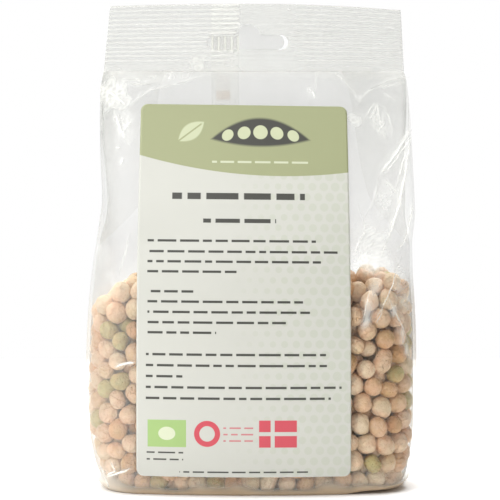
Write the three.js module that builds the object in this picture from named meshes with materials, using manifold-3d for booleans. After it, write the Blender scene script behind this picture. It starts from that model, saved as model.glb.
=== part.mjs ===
// A sealed, side-gusseted clear film bag, filled to a little under half its height with dried
// peas, with a paper label stuck on its front. Millimetres, +Z up, front towards -Y, origin
// at the middle of the base, on the surface that the bag stands on.
import * as THREE from 'three';
import { mergeVertices } from 'three/addons/utils/BufferGeometryUtils.js';
import Module from 'manifold-3d';

// ---- Driving dimensions ----------------------------------------------------------------

const BAG_HEIGHT = 191; // base to the top edge of the header
const HEADER_HEIGHT = 27; // the flat, heat-sealed band across the top
const SEAL_LINE = BAG_HEIGHT - HEADER_HEIGHT;
const FILM_GIRTH = 345; // once round the film tube, the same at every height
const CORNER_SHARE = 0.72; // corner radius of a full section, as a share of its half depth
const CREASE_SHARE = 0.12; // the same where the side is tucked in and its edge is a crease
const CREASE_TUCK = 14; // tuck at which the edge has become a sharp crease
const TUCK_START = 80; // the peas hold the sides out up to here
const TUCK_FULL = 116;
const CROWN_SHARE = 0.12; // how much of the half depth is the panel's own bulge
const SAME_POINT = 0.0001; // points nearer to each other than this are one

// Sizes up the bag: left and right are half widths, front and back are half depths.
const STATIONS = [
  { z: 0, left: 58, right: 60, front: 25.5, back: 25 },
  { z: 3, left: 60.6, right: 62, front: 28, back: 27.5 },
  { z: 9, left: 63, right: 63.4, front: 29.6, back: 29 },
  { z: 19, left: 65, right: 65, front: 30.4, back: 29.8 },
  { z: 36, left: 65.5, right: 65.4, front: 30.6, back: 30 },
  { z: 64, left: 64.7, right: 65.1, front: 29.4, back: 28.8 },
  { z: 86, left: 62.8, right: 64, front: 26.2, back: 25.6 },
  { z: 109, left: 59.2, right: 63.8, front: 19.6, back: 19 },
  { z: 122, left: 59.2, right: 63.6, front: 15.2, back: 14.8 },
  { z: 140, left: 60.4, right: 63.2, front: 8.8, back: 8.5 },
  { z: 151, left: 60.2, right: 62.8, front: 4.9, back: 4.8 },
  { z: 160, left: 59.4, right: 61.8, front: 1.9, back: 1.9 },
  { z: 164, left: 58.6, right: 60.8, front: 0.6, back: 0.6 },
];

// Peas behind the film, in staggered rows; the film sinks a little between them.
const FOOT_ROWS = [0, 1.2, 3.6]; // the skin's lowest rows, under the first row of peas
const HEAP_TOP = 87;
const FIRST_PEA_ROW = 7;
const PEA_ROW_PITCH = 6.6;
const SINK_BESIDE_PEA = 1.4;
const SINK_BETWEEN_ROWS = 1.1;
const PEA_UNEVENNESS = 0.7;
const PEA_SEED = 41;

// Columns of the skin: two to a pea, so each panel's count is even.
const FRONT_COLUMNS = 24;
const CORNER_COLUMNS = 9;
const SIDE_COLUMNS = 4;

// Slack film above the peas: long soft folds, as waves along a slanted line.
const UPPER_ROW_PITCH = 5.5;
const FOLD_DEPTH = 0.9;
const FOLD_LENGTH = 46;
const FOLD_LEAN = 0.9;
const FOLD_FADE_IN = 15; // over this height above the heap
const FOLD_FADE_OUT = [148, 158]; // heights between which the folds die out
const UPPER_ROWS_END = 3; // the last even row lies this far under the seal
const LAST_ROW_END = 0.8; // and the last row of all this far

// Header
const HEADER_THICKNESS = 0.9;
const RIB_COUNT = 12;
const RIB_RISE = 0.28; // over each face of the header
const HEADER_TOP_LEFT = 56;
const HEADER_TOP_RIGHT = 59.5;
const HEADER_DROP_LEFT = 1.1; // the top edge falls this much from its middle to its left end
const HEADER_DROP_RIGHT = 2.6;
const HEADER_CREST_X = -12; // the top edge's curve leans towards a point over here
const HEADER_CREST_RISE = 1.6;
const HEADER_FOOT_END = 1; // how far the header reaches down over the body's end
const HEADER_OVERLAP = 1.5; // how far the body's tapered end reaches up inside the header
const BODY_END_WIDTH = 0.985; // width of that end, as a share of the header's
const BODY_END_THICKNESS = 0.3; // its half thickness, as a share of the header's thickness
const BODY_END_SIDE = 0.8; // the same at its two narrow sides, as a share of the rest
const PLATE_LENGTH = 140; // the ribbed plate before it is cut to the header's outline
const PLATE_CUT_DEPTH = 10; // deeper than the plate is thick

// Hang slot: a bar with rounded ends and a hump over its middle
const SLOT_WIDTH = 32;
const SLOT_BAR_HEIGHT = 6;
const SLOT_HUMP_HEIGHT = 10.2;
const SLOT_HUMP_WIDTH = 10;
const SLOT_BOTTOM = 172.7;
const SLOT_X = -1.2;
const SLOT_CUT_DEPTH = 30; // clear through the header and the back seam
const SLOT_ARC_PARTS = 8;

// Back seam: the fin where the film's two edges are welded, folded flat
const FIN_X = -10.3;
const FIN_WIDTH = 11;
const FIN_RISE = 0.5;
const FIN_BITE = 0.35;
const FIN_MARGIN = 3;
const FIN_ROWS = 34;
const FIN_FOOT = 5;

// Label
const LABEL_WIDTH = 81;
const LABEL_X = -2.8;
const LABEL_BOTTOM = 7.6;
const LABEL_TOP = 150;
const LABEL_CORNER = 2.7;
const LABEL_TOP_SLOPE = 0.014; // its top edge falls to the right, its foot is level
const LABEL_THICKNESS = 0.3;
const LABEL_GAP = 0.3;
const LABEL_COLUMNS = 18;
const LABEL_ROWS = 26;

// ---- Materials -------------------------------------------------------------------------

const filledFilm = new THREE.MeshStandardMaterial({
  name: 'clear film over dried peas',
  color: 0xcdb795,
  roughness: 0.3,
  metalness: 0,
});
const labelPaper = new THREE.MeshStandardMaterial({
  name: 'matt paper label',
  color: 0xe2e3d8,
  roughness: 0.6,
  metalness: 0,
});

// ---- Small helpers ---------------------------------------------------------------------

const clamp01 = (t) => Math.min(1, Math.max(0, t));

const smoothstep = (from, to, t) => {
  const s = clamp01((t - from) / (to - from));
  return s * s * (3 - 2 * s);
};

// A repeatable run of numbers from 0 to 1.
function randomRun(seed) {
  let state = seed >>> 0;
  return () => {
    state = (Math.imul(state, 1664525) + 1013904223) >>> 0;
    return state / 4294967296;
  };
}

// One size of the bag at height z: a cubic through the stations, level with their trend.
function sizeAt(key, z) {
  const last = STATIONS.length - 1;
  if (z >= STATIONS[last].z) return STATIONS[last][key];
  let i = 0;
  while (z > STATIONS[i + 1].z) i += 1;
  const slope = (k) => {
    const below = STATIONS[Math.max(0, k - 1)];
    const above = STATIONS[Math.min(last, k + 1)];
    return (above[key] - below[key]) / (above.z - below.z);
  };
  const [low, high] = [STATIONS[i], STATIONS[i + 1]];
  const span = high.z - low.z;
  const t = (z - low.z) / span;
  const [t2, t3] = [t * t, t * t * t];
  return (
    low[key] * (2 * t3 - 3 * t2 + 1) +
    slope(i) * span * (t3 - 2 * t2 + t) +
    high[key] * (3 * t2 - 2 * t3) +
    slope(i + 1) * span * (t3 - t2)
  );
}

// ---- The bag's section -----------------------------------------------------------------

// The side's tuck: what is left of the girth after the front and back panels goes into the
// two sides, and folds inwards where it is longer than the bag is deep.
function tuckAt(z) {
  const width = sizeAt('left', z) + sizeAt('right', z);
  const halfSide = (FILM_GIRTH - 2 * width) / 4;
  const halfDepth = (sizeAt('front', z) + sizeAt('back', z)) / 2;
  return Math.sqrt(Math.max(0, halfSide ** 2 - halfDepth ** 2)) * smoothstep(TUCK_START, TUCK_FULL, z);
}

// The sizes of one quarter of the section: a half width, a half depth and a corner radius.
function quarterAt(xSign, ySign, z) {
  const width = sizeAt(xSign < 0 ? 'left' : 'right', z);
  const depth = sizeAt(ySign < 0 ? 'front' : 'back', z);
  const sharp = smoothstep(0, CREASE_TUCK, tuckAt(z));
  const radius = depth * (CORNER_SHARE + (CREASE_SHARE - CORNER_SHARE) * sharp);
  return { width, depth, radius, edge: depth * (1 - CROWN_SHARE) };
}

// How far the front or back panel stands from the middle plane at x.
function panelDepth(x, ySign, z) {
  const { width, depth, radius, edge } = quarterAt(Math.sign(x) || 1, ySign, z);
  const flat = width - radius;
  const over = Math.abs(x) - flat;
  if (over <= 0) return edge + (depth - edge) * (1 - (x / flat) ** 2);
  return edge - radius + Math.sqrt(Math.max(0, radius ** 2 - over ** 2));
}

// The columns round the skin, as a panel and a share along it, anticlockwise from above
// and starting at the front's left end.
function skinColumns() {
  const columns = [];
  const add = (count, make) => {
    for (let k = 0; k < count; k += 1) columns.push(make(k / count));
  };
  add(FRONT_COLUMNS, (t) => ({ panel: 'face', ySign: -1, along: 2 * t - 1 }));
  add(CORNER_COLUMNS, (t) => ({ panel: 'corner', xSign: 1, ySign: -1, turn: t }));
  add(SIDE_COLUMNS, (t) => ({ panel: 'side', xSign: 1, along: 2 * t - 1 }));
  add(CORNER_COLUMNS, (t) => ({ panel: 'corner', xSign: 1, ySign: 1, turn: 1 - t }));
  add(FRONT_COLUMNS, (t) => ({ panel: 'face', ySign: 1, along: 1 - 2 * t }));
  add(CORNER_COLUMNS, (t) => ({ panel: 'corner', xSign: -1, ySign: 1, turn: t }));
  add(SIDE_COLUMNS, (t) => ({ panel: 'side', xSign: -1, along: 1 - 2 * t }));
  add(CORNER_COLUMNS, (t) => ({ panel: 'corner', xSign: -1, ySign: -1, turn: 1 - t }));
  return columns;
}

// A column's point at height z, and the direction into the bag there.
function skinPoint(column, z) {
  if (column.panel === 'face') {
    const xSign = column.along < 0 ? -1 : 1;
    const { width, radius } = quarterAt(xSign, column.ySign, z);
    const x = column.along * (width - radius);
    return { x, y: column.ySign * panelDepth(x, column.ySign, z), inX: 0, inY: -column.ySign };
  }
  if (column.panel === 'corner') {
    const { width, radius, edge } = quarterAt(column.xSign, column.ySign, z);
    const angle = (column.turn * Math.PI) / 2;
    const [outX, outY] = [column.xSign * Math.sin(angle), column.ySign * Math.cos(angle)];
    return {
      x: column.xSign * (width - radius) + radius * outX,
      y: column.ySign * (edge - radius) + radius * outY,
      inX: -outX,
      inY: -outY,
    };
  }
  const { width, radius, edge } = quarterAt(column.xSign, column.along < 0 ? -1 : 1, z);
  const inward = tuckAt(z) * (1 - Math.abs(column.along));
  const y = column.along * (edge - radius);
  return { x: column.xSign * (width - inward), y, inX: -column.xSign, inY: 0 };
}

// ---- Relief ----------------------------------------------------------------------------

// Peas press on the film from inside in staggered rows: it touches each one and sinks
// between them. Each pea stands a little further in or out than the next.
function makePeaRelief(columnCount) {
  const random = randomRun(PEA_SEED);
  const rows = Math.ceil((HEAP_TOP - FIRST_PEA_ROW) / PEA_ROW_PITCH) * 2 + 2;
  const uneven = Array.from({ length: rows * columnCount }, () => random() * PEA_UNEVENNESS);
  return (columnIndex, halfRow) => {
    const betweenRows = halfRow % 2 === 1;
    if (betweenRows) return SINK_BETWEEN_ROWS;
    const onPea = (columnIndex + halfRow / 2) % 2 === 0;
    return onPea ? uneven[halfRow * columnCount + columnIndex] : SINK_BESIDE_PEA;
  };
}

// Slack film above the peas folds in long slanted waves, dying out at the seal.
function foldDepth(point, z) {
  const fadeOut = 1 - smoothstep(...FOLD_FADE_OUT, z);
  const rise = smoothstep(HEAP_TOP, HEAP_TOP + FOLD_FADE_IN, z) * fadeOut;
  const phase = (point.x + FOLD_LEAN * z) / FOLD_LENGTH;
  return FOLD_DEPTH * rise * (1 + Math.sin(2 * Math.PI * phase)) * 0.5;
}

// The film stays smooth where the back seam lies on it.
const underFin = (point) =>
  point.y > 0 && Math.abs(point.x - FIN_X) < FIN_WIDTH / 2 + FIN_MARGIN;

// ---- Meshes to solids ------------------------------------------------------------------

const wasm = await Module();
wasm.setup();

function geometryFrom(positions, indices) {
  const geometry = new THREE.BufferGeometry();
  geometry.setAttribute('position', new THREE.Float32BufferAttribute(positions, 3));
  geometry.setIndex(indices);
  return geometry;
}

function toSolid(geometry) {
  const bare = geometry.clone();
  bare.deleteAttribute('normal');
  bare.deleteAttribute('uv');
  const merged = mergeVertices(bare, SAME_POINT);
  const vertProperties = new Float32Array(merged.attributes.position.array);
  const triVerts = new Uint32Array(merged.index.array);
  return new wasm.Manifold(new wasm.Mesh({ numProp: 3, vertProperties, triVerts }));
}

function toGeometry(solid) {
  const { vertProperties, triVerts } = solid.getMesh();
  return geometryFrom(Array.from(vertProperties), Array.from(triVerts));
}

// A closed skin from rings of equal length, lowest first, with a fan over each end.
function skinFromRings(rings) {
  const count = rings[0].length;
  const positions = rings.flat().flatMap(({ x, y, z }) => [x, y, z]);
  const indices = [];
  for (let r = 0; r + 1 < rings.length; r += 1) {
    for (let c = 0; c < count; c += 1) {
      const [a, b] = [r * count + c, r * count + ((c + 1) % count)];
      const [d, e] = [a + count, b + count];
      indices.push(a, b, e, a, e, d);
    }
  }
  const addFan = (ring, facesDown) => {
    const first = rings.indexOf(ring) * count;
    const centre = positions.length / 3;
    positions.push(0, 0, ring[0].z);
    for (let c = 0; c < count; c += 1) {
      const [a, b] = [first + c, first + ((c + 1) % count)];
      indices.push(...(facesDown ? [centre, b, a] : [centre, a, b]));
    }
  };
  addFan(rings[0], true);
  addFan(rings[rings.length - 1], false);
  return geometryFrom(positions, indices);
}

// A closed sheet from two equal grids of points: near faces -Y and far faces +Y.
function sheetFromGrids(near, far) {
  const [rows, columns] = [near.length, near[0].length];
  const positions = [...near.flat(), ...far.flat()].flatMap(({ x, y, z }) => [x, y, z]);
  const at = (r, c) => r * columns + c;
  const behind = rows * columns;
  const indices = [];
  const addQuad = (a, b, c, d) => indices.push(a, b, c, a, c, d);
  for (let r = 0; r + 1 < rows; r += 1) {
    for (let c = 0; c + 1 < columns; c += 1) {
      const [p, q, s, t] = [at(r, c), at(r, c + 1), at(r + 1, c + 1), at(r + 1, c)];
      addQuad(p, q, s, t);
      addQuad(behind + t, behind + s, behind + q, behind + p);
    }
  }
  for (let c = 0; c + 1 < columns; c += 1) {
    const [low, lowNext] = [at(0, c), at(0, c + 1)];
    const [top, topNext] = [at(rows - 1, c), at(rows - 1, c + 1)];
    addQuad(behind + low, behind + lowNext, lowNext, low);
    addQuad(top, topNext, behind + topNext, behind + top);
  }
  for (let r = 0; r + 1 < rows; r += 1) {
    const [left, leftUp] = [at(r, 0), at(r + 1, 0)];
    const [right, rightUp] = [at(r, columns - 1), at(r + 1, columns - 1)];
    addQuad(left, leftUp, behind + leftUp, behind + left);
    addQuad(behind + right, behind + rightUp, rightUp, right);
  }
  return geometryFrom(positions, indices);
}

// ---- The body --------------------------------------------------------------------------

function bodyHeights() {
  const heights = FOOT_ROWS.map((z) => ({ z }));
  const halfRows = Math.round(((HEAP_TOP - FIRST_PEA_ROW) / PEA_ROW_PITCH) * 2);
  for (let h = 0; h <= halfRows; h += 1) {
    heights.push({ z: FIRST_PEA_ROW + (h * PEA_ROW_PITCH) / 2, halfRow: h });
  }
  const start = heights[heights.length - 1].z;
  const upperSpan = SEAL_LINE - UPPER_ROWS_END - start;
  const upperRows = Math.ceil(upperSpan / UPPER_ROW_PITCH);
  for (let k = 1; k <= upperRows; k += 1) {
    heights.push({ z: start + (upperSpan * k) / upperRows });
  }
  heights.push({ z: SEAL_LINE - LAST_ROW_END });
  heights.push({ z: SEAL_LINE + HEADER_OVERLAP, inHeader: true });
  return heights;
}

function bodySolid() {
  const columns = skinColumns();
  const peaSink = makePeaRelief(columns.length);
  const rings = bodyHeights().map(({ z, halfRow, inHeader }) =>
    columns.map((column, index) => {
      if (inHeader) return headerEndPoint(column, z);
      const point = skinPoint(column, z);
      let sink = foldDepth(point, z);
      if (halfRow !== undefined && !underFin(point)) sink += peaSink(index, halfRow);
      return { x: point.x + point.inX * sink, y: point.y + point.inY * sink, z };
    }),
  );
  return toSolid(skinFromRings(rings));
}

// The body's last ring lies inside the header plate, thinner and narrower than the plate.
function headerEndPoint(column, z) {
  const halfThick = HEADER_THICKNESS * BODY_END_THICKNESS;
  const point = skinPoint(column, SEAL_LINE);
  if (column.panel === 'side') {
    const width = sizeAt(column.xSign < 0 ? 'left' : 'right', SEAL_LINE);
    const y = column.along * halfThick * BODY_END_SIDE;
    return { x: column.xSign * width * BODY_END_WIDTH, y, z };
  }
  const depth = Math.max(sizeAt('front', SEAL_LINE), sizeAt('back', SEAL_LINE));
  return { x: point.x * BODY_END_WIDTH, y: (point.y / depth) * halfThick, z };
}

// ---- Header ----------------------------------------------------------------------------

// Fine ribs pressed across the header: a saw-tooth section in Y and Z, swept along X.
function ribbedPlate() {
  const bottom = SEAL_LINE;
  const pitch = HEADER_HEIGHT / RIB_COUNT;
  const face = HEADER_THICKNESS / 2;
  const outline = [];
  const addFace = (ySign, upwards) => {
    for (let k = 0; k <= RIB_COUNT * 2; k += 1) {
      const step = upwards ? k : RIB_COUNT * 2 - k;
      const onRib = step % 2 === 1;
      const z = bottom + (step * pitch) / 2;
      outline.push(new THREE.Vector2(ySign * (face + (onRib ? RIB_RISE : 0)), z));
    }
  };
  addFace(1, true);
  addFace(-1, false);
  const geometry = new THREE.ExtrudeGeometry(new THREE.Shape(outline), {
    depth: PLATE_LENGTH,
    bevelEnabled: false,
  });
  // The shape's x and y become Y and Z, and the sweep becomes X.
  const turn = new THREE.Matrix4().makeBasis(
    new THREE.Vector3(0, 1, 0),
    new THREE.Vector3(0, 0, 1),
    new THREE.Vector3(1, 0, 0),
  );
  geometry.applyMatrix4(turn);
  geometry.translate(-PLATE_LENGTH / 2, 0, 0);
  return toSolid(geometry);
}

// A prism through the header: an outline in X and Z, swept along Y.
function prismAlongY(shape, depth) {
  const geometry = new THREE.ExtrudeGeometry(shape, {
    depth,
    bevelEnabled: false,
    curveSegments: SLOT_ARC_PARTS,
  });
  geometry.rotateX(Math.PI / 2);
  geometry.translate(0, depth / 2, 0);
  return toSolid(geometry);
}

function headerOutline() {
  const [footLeft, footRight] = [sizeAt('left', SEAL_LINE), sizeAt('right', SEAL_LINE)];
  const foot = SEAL_LINE - HEADER_FOOT_END;
  const [topLeft, topRight] = [BAG_HEIGHT - HEADER_DROP_LEFT, BAG_HEIGHT - HEADER_DROP_RIGHT];
  const crest = BAG_HEIGHT + HEADER_CREST_RISE;
  const shape = new THREE.Shape();
  shape.moveTo(-footLeft, foot);
  shape.lineTo(footRight, foot);
  shape.lineTo(HEADER_TOP_RIGHT, topRight);
  shape.quadraticCurveTo(HEADER_CREST_X, crest, -HEADER_TOP_LEFT, topLeft);
  shape.closePath();
  return shape;
}

function hangSlot() {
  const half = SLOT_WIDTH / 2;
  const r = SLOT_BAR_HEIGHT / 2;
  const hump = SLOT_HUMP_WIDTH / 2;
  const humpBase = SLOT_BOTTOM + SLOT_HUMP_HEIGHT - hump;
  const shape = new THREE.Shape();
  shape.moveTo(SLOT_X - half + r, SLOT_BOTTOM);
  shape.lineTo(SLOT_X + half - r, SLOT_BOTTOM);
  shape.absarc(SLOT_X + half - r, SLOT_BOTTOM + r, r, -Math.PI / 2, Math.PI / 2, false);
  shape.lineTo(SLOT_X + hump, SLOT_BOTTOM + SLOT_BAR_HEIGHT);
  shape.absarc(SLOT_X, humpBase, hump, 0, Math.PI, false);
  shape.lineTo(SLOT_X - hump, SLOT_BOTTOM + SLOT_BAR_HEIGHT);
  shape.lineTo(SLOT_X - half + r, SLOT_BOTTOM + SLOT_BAR_HEIGHT);
  shape.absarc(SLOT_X - half + r, SLOT_BOTTOM + r, r, Math.PI / 2, (3 * Math.PI) / 2, false);
  return shape;
}

// ---- Back seam -------------------------------------------------------------------------

// A flat strip over the middle of the back, from just above the base to the top edge.
function finSolid() {
  const top = BAG_HEIGHT - HEADER_DROP_LEFT;
  const across = [0, 0.25, 0.5, 0.75, 1];
  const grid = (offset) =>
    Array.from({ length: FIN_ROWS + 1 }, (_, r) => {
      const z = FIN_FOOT + ((top - FIN_FOOT) * r) / FIN_ROWS;
      return across.map((t) => {
        const x = FIN_X + (t - 0.5) * FIN_WIDTH;
        const back = z < SEAL_LINE ? panelDepth(x, 1, z) : 0;
        const y = Math.max(back, HEADER_THICKNESS / 2 + RIB_RISE / 2) + offset;
        return { x, y, z };
      });
    });
  return toSolid(sheetFromGrids(grid(-FIN_BITE), grid(FIN_RISE)));
}

function bagGeometry() {
  const header = ribbedPlate().intersect(prismAlongY(headerOutline(), PLATE_CUT_DEPTH));
  const whole = bodySolid().add(header).add(finSolid());
  return toGeometry(whole.subtract(prismAlongY(hangSlot(), SLOT_CUT_DEPTH)));
}

// ---- Label -----------------------------------------------------------------------------

// Rows crowd together at both ends, where the corners are rounded.
function labelRows() {
  const corner = [0, 0.12, 0.4, 1].map((t) => t * LABEL_CORNER);
  const [low, high] = [LABEL_BOTTOM + LABEL_CORNER, LABEL_TOP - LABEL_CORNER];
  const middle = Array.from(
    { length: LABEL_ROWS - 1 },
    (_, k) => low + ((high - low) * (k + 1)) / LABEL_ROWS,
  );
  return [
    ...corner.map((d) => LABEL_BOTTOM + d),
    ...middle,
    ...corner.reverse().map((d) => LABEL_TOP - d),
  ];
}

function labelGeometry() {
  const halfWidthAt = (z) => {
    const fromEnd = Math.min(z - LABEL_BOTTOM, LABEL_TOP - z, LABEL_CORNER);
    const rest = LABEL_CORNER - fromEnd;
    return LABEL_WIDTH / 2 - LABEL_CORNER + Math.sqrt(LABEL_CORNER ** 2 - rest ** 2);
  };
  const grid = (offset) =>
    labelRows().map((z) =>
      Array.from({ length: LABEL_COLUMNS + 1 }, (_, c) => {
        const x = LABEL_X + halfWidthAt(z) * ((2 * c) / LABEL_COLUMNS - 1);
        const share = (z - LABEL_BOTTOM) / (LABEL_TOP - LABEL_BOTTOM);
        const height = z - (x - LABEL_X) * LABEL_TOP_SLOPE * share;
        return { x, y: -panelDepth(x, -1, height) - offset, z: height };
      }),
    );
  return sheetFromGrids(grid(LABEL_GAP + LABEL_THICKNESS), grid(LABEL_GAP));
}

// ---- Assembly --------------------------------------------------------------------------

function namedMesh(name, geometry, material) {
  geometry.computeVertexNormals();
  const mesh = new THREE.Mesh(geometry, material);
  mesh.name = name;
  return mesh;
}

const group = new THREE.Group();
group.add(namedMesh('bag', bagGeometry(), filledFilm));
group.add(namedMesh('label', labelGeometry(), labelPaper));

export default group;
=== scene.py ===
"""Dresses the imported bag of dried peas: loose peas, clear film, ribbed header and printed label.

Metres, +Z up, the bag's front towards -Y, its base in the middle of z = 0.
"""

import math
from functools import lru_cache

import bmesh
import bpy
import numpy as np
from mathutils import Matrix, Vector


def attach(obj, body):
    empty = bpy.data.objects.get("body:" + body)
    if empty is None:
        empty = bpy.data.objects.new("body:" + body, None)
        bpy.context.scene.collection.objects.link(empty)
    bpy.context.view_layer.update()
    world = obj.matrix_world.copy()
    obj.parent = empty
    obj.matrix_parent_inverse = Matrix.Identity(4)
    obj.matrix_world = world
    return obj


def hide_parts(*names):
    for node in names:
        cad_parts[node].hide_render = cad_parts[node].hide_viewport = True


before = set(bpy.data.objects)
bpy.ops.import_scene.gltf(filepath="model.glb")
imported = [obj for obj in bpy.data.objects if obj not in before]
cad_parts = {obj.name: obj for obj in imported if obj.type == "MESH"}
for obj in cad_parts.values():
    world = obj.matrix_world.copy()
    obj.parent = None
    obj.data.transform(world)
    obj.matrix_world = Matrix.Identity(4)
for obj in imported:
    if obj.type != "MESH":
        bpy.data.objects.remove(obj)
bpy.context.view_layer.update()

bl_info = {
    "name": "Bag of Dried Peas",
    "version": (1, 0, 0),
    "blender": (4, 5, 0),
    "location": "View3D > Sidebar > Peas",
    "description": "A clear film bag of dried peas with a paper label, round the packed model",
    "category": "Add Mesh",
}

MM = 0.001

# ---- The bag's form, the same as the solid's -------------------------------------------

BAG_HEIGHT = 191 * MM
SEAL_LINE = 164 * MM
FILM_GIRTH = 345 * MM
CORNER_SHARE = 0.72
CREASE_SHARE = 0.12
CREASE_TUCK = 14 * MM
TUCK_START = 80 * MM
TUCK_FULL = 116 * MM
CROWN_SHARE = 0.12

# Height, then half widths to the left and right and half depths to the front and back.
STATIONS = MM * np.array([
    (0, 58, 60, 25.5, 25),
    (3, 60.6, 62, 28, 27.5),
    (9, 63, 63.4, 29.6, 29),
    (19, 65, 65, 30.4, 29.8),
    (36, 65.5, 65.4, 30.6, 30),
    (64, 64.7, 65.1, 29.4, 28.8),
    (86, 62.8, 64, 26.2, 25.6),
    (109, 59.2, 63.8, 19.6, 19),
    (122, 59.2, 63.6, 15.2, 14.8),
    (140, 60.4, 63.2, 8.8, 8.5),
    (151, 60.2, 62.8, 4.9, 4.8),
    (160, 59.4, 61.8, 1.9, 1.9),
    (164, 58.6, 60.8, 0.6, 0.6),
])

HEADER_HALF_THICKNESS = 0.3 * MM
HEADER_TOP_LEFT = 56 * MM
HEADER_TOP_RIGHT = 59.5 * MM
HEADER_DROP_LEFT = 1.1 * MM
HEADER_DROP_RIGHT = 2.6 * MM
HEADER_ROWS = 121
HEADER_SIDE_COLUMNS = 96
SLOT_COLUMNS = 56
RIB_PITCH = 1.85 * MM
RIB_FOOT = 166.6 * MM
RIB_RISE = 0.07 * MM

SLOT_X = -1.2 * MM
SLOT_BOTTOM = 172.7 * MM
SLOT_WIDTH = 32 * MM
SLOT_BAR_HEIGHT = 6 * MM
SLOT_HUMP_HEIGHT = 10.2 * MM
SLOT_HUMP_WIDTH = 10 * MM

FIN_X = -10.3 * MM
FIN_WIDTH = 11 * MM
FIN_RISE = 0.5 * MM
FIN_OUTER = FIN_RISE * 0.7
FIN_FOOT = 5 * MM
FIN_OFF_HEADER = HEADER_HALF_THICKNESS + 0.5 * MM
STRIPE_PITCH = 2.6 * MM

LABEL_X = -2.8 * MM
LABEL_WIDTH = 81 * MM
LABEL_BOTTOM = 7.6 * MM
LABEL_TOP = 150 * MM
LABEL_HEIGHT = LABEL_TOP - LABEL_BOTTOM
LABEL_CORNER = 2.7 * MM
LABEL_TOP_SLOPE = 0.014
LABEL_STAND_OFF = 0.45 * MM


def smoothstep(low, high, value):
    """The cubic 3t^2 - 2t^3 of how far value has come from low to high."""
    t = np.clip((value - low) / (high - low), 0.0, 1.0)
    return t * t * (3.0 - 2.0 * t)


def sizes_at(z):
    """Left, right, front and back sizes at heights z: a cubic through the stations, whose
    slope at each station is the slope of the line between its two neighbours."""
    heights, sizes = STATIONS[:, 0], STATIONS[:, 1:]
    last = len(heights) - 1
    z = np.clip(z, 0.0, heights[last])
    k = np.clip(np.searchsorted(heights, z, side="right") - 1, 0, last - 1)
    below = np.maximum(np.arange(last + 1) - 1, 0)
    above = np.minimum(np.arange(last + 1) + 1, last)
    slopes = (sizes[above] - sizes[below]) / (heights[above] - heights[below])[:, None]
    span = (heights[k + 1] - heights[k])[..., None]
    t = (z - heights[k])[..., None] / span
    return np.moveaxis(
        sizes[k] * (2 * t**3 - 3 * t**2 + 1)
        + slopes[k] * span * (t**3 - 2 * t**2 + t)
        + sizes[k + 1] * (3 * t**2 - 2 * t**3)
        + slopes[k + 1] * span * (t**3 - t**2), -1, 0)


def tuck_at(z):
    """How far the sides fold inwards: each side has a quarter of the girth that the front
    and back panels leave for its half, which folds in where it is longer than the depth."""
    left, right, front, back = sizes_at(z)
    half_side = (FILM_GIRTH - 2 * (left + right)) / 4
    half_depth = (front + back) / 2
    folded = np.sqrt(np.maximum(0.0, half_side**2 - half_depth**2))
    return folded * smoothstep(TUCK_START, TUCK_FULL, z)


def quarter_at(right_side, back_side, z):
    """Half width, half depth, corner radius and edge depth of one quarter of the section."""
    left, right, front, back = sizes_at(z)
    width = np.where(right_side, right, left)
    depth = np.where(back_side, back, front)
    sharp = smoothstep(0.0, CREASE_TUCK, tuck_at(z))
    radius = depth * (CORNER_SHARE + (CREASE_SHARE - CORNER_SHARE) * sharp)
    return width, depth, radius, depth * (1 - CROWN_SHARE)


def panel_depth(x, back_side, z):
    """The front or back panel's distance from the middle plane: a shallow parabola between
    the corners, and a quarter circle round each corner."""
    width, depth, radius, edge = quarter_at(x > 0, back_side, z)
    flat = width - radius
    over = np.abs(x) - flat
    crowned = edge + (depth - edge) * (1 - (x / flat) ** 2)
    rounded = edge - radius + np.sqrt(np.maximum(0.0, radius**2 - np.maximum(over, 0.0) ** 2))
    return np.where(over <= 0, crowned, rounded)


# ---- Meshes ----------------------------------------------------------------------------


def grid_quads(rows, columns, closed=False):
    """Corner indices of a grid's quads, its last column joined to its first if closed."""
    across = columns if closed else columns - 1
    r, c = np.meshgrid(np.arange(rows - 1), np.arange(across), indexing="ij")
    low, next_low = r * columns + c, r * columns + (c + 1) % columns
    return np.stack((low, next_low, next_low + columns, low + columns), -1).reshape(-1, 4)


def make_mesh(name, points, quads, attributes=None, smooth=True):
    """A mesh object at the origin from points and quads; attributes are numbers for each
    point, and smooth is one answer for all the quads or one for each."""
    mesh = bpy.data.meshes.new(name)
    mesh.vertices.add(len(points))
    mesh.vertices.foreach_set("co", np.ascontiguousarray(points, dtype=np.float32).ravel())
    mesh.loops.add(quads.size)
    mesh.loops.foreach_set("vertex_index", quads.astype(np.int32).ravel())
    mesh.polygons.add(len(quads))
    mesh.polygons.foreach_set("loop_start", np.arange(0, quads.size, 4, dtype=np.int32))
    mesh.update(calc_edges=True)
    mesh.validate()
    mesh.polygons.foreach_set("use_smooth", np.broadcast_to(smooth, len(mesh.polygons)).copy())
    for key, values in (attributes or {}).items():
        layer = mesh.attributes.new(key, "FLOAT", "POINT")
        layer.data.foreach_set("value", np.asarray(values, dtype=np.float32).ravel())
    obj = bpy.data.objects.new(name, mesh)
    bpy.context.scene.collection.objects.link(obj)
    return obj


def weld(obj, distance=0.01 * MM):
    """Merges points that coincide, such as the two faces along a closed edge."""
    bm = bmesh.new()
    bm.from_mesh(obj.data)
    bmesh.ops.remove_doubles(bm, verts=bm.verts, dist=distance)
    bm.to_mesh(obj.data)
    bm.free()


def loose_free(obj):
    """Removes points that no face uses."""
    bm = bmesh.new()
    bm.from_mesh(obj.data)
    bmesh.ops.delete(bm, geom=[v for v in bm.verts if not v.link_faces], context="VERTS")
    bm.to_mesh(obj.data)
    bm.free()


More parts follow.
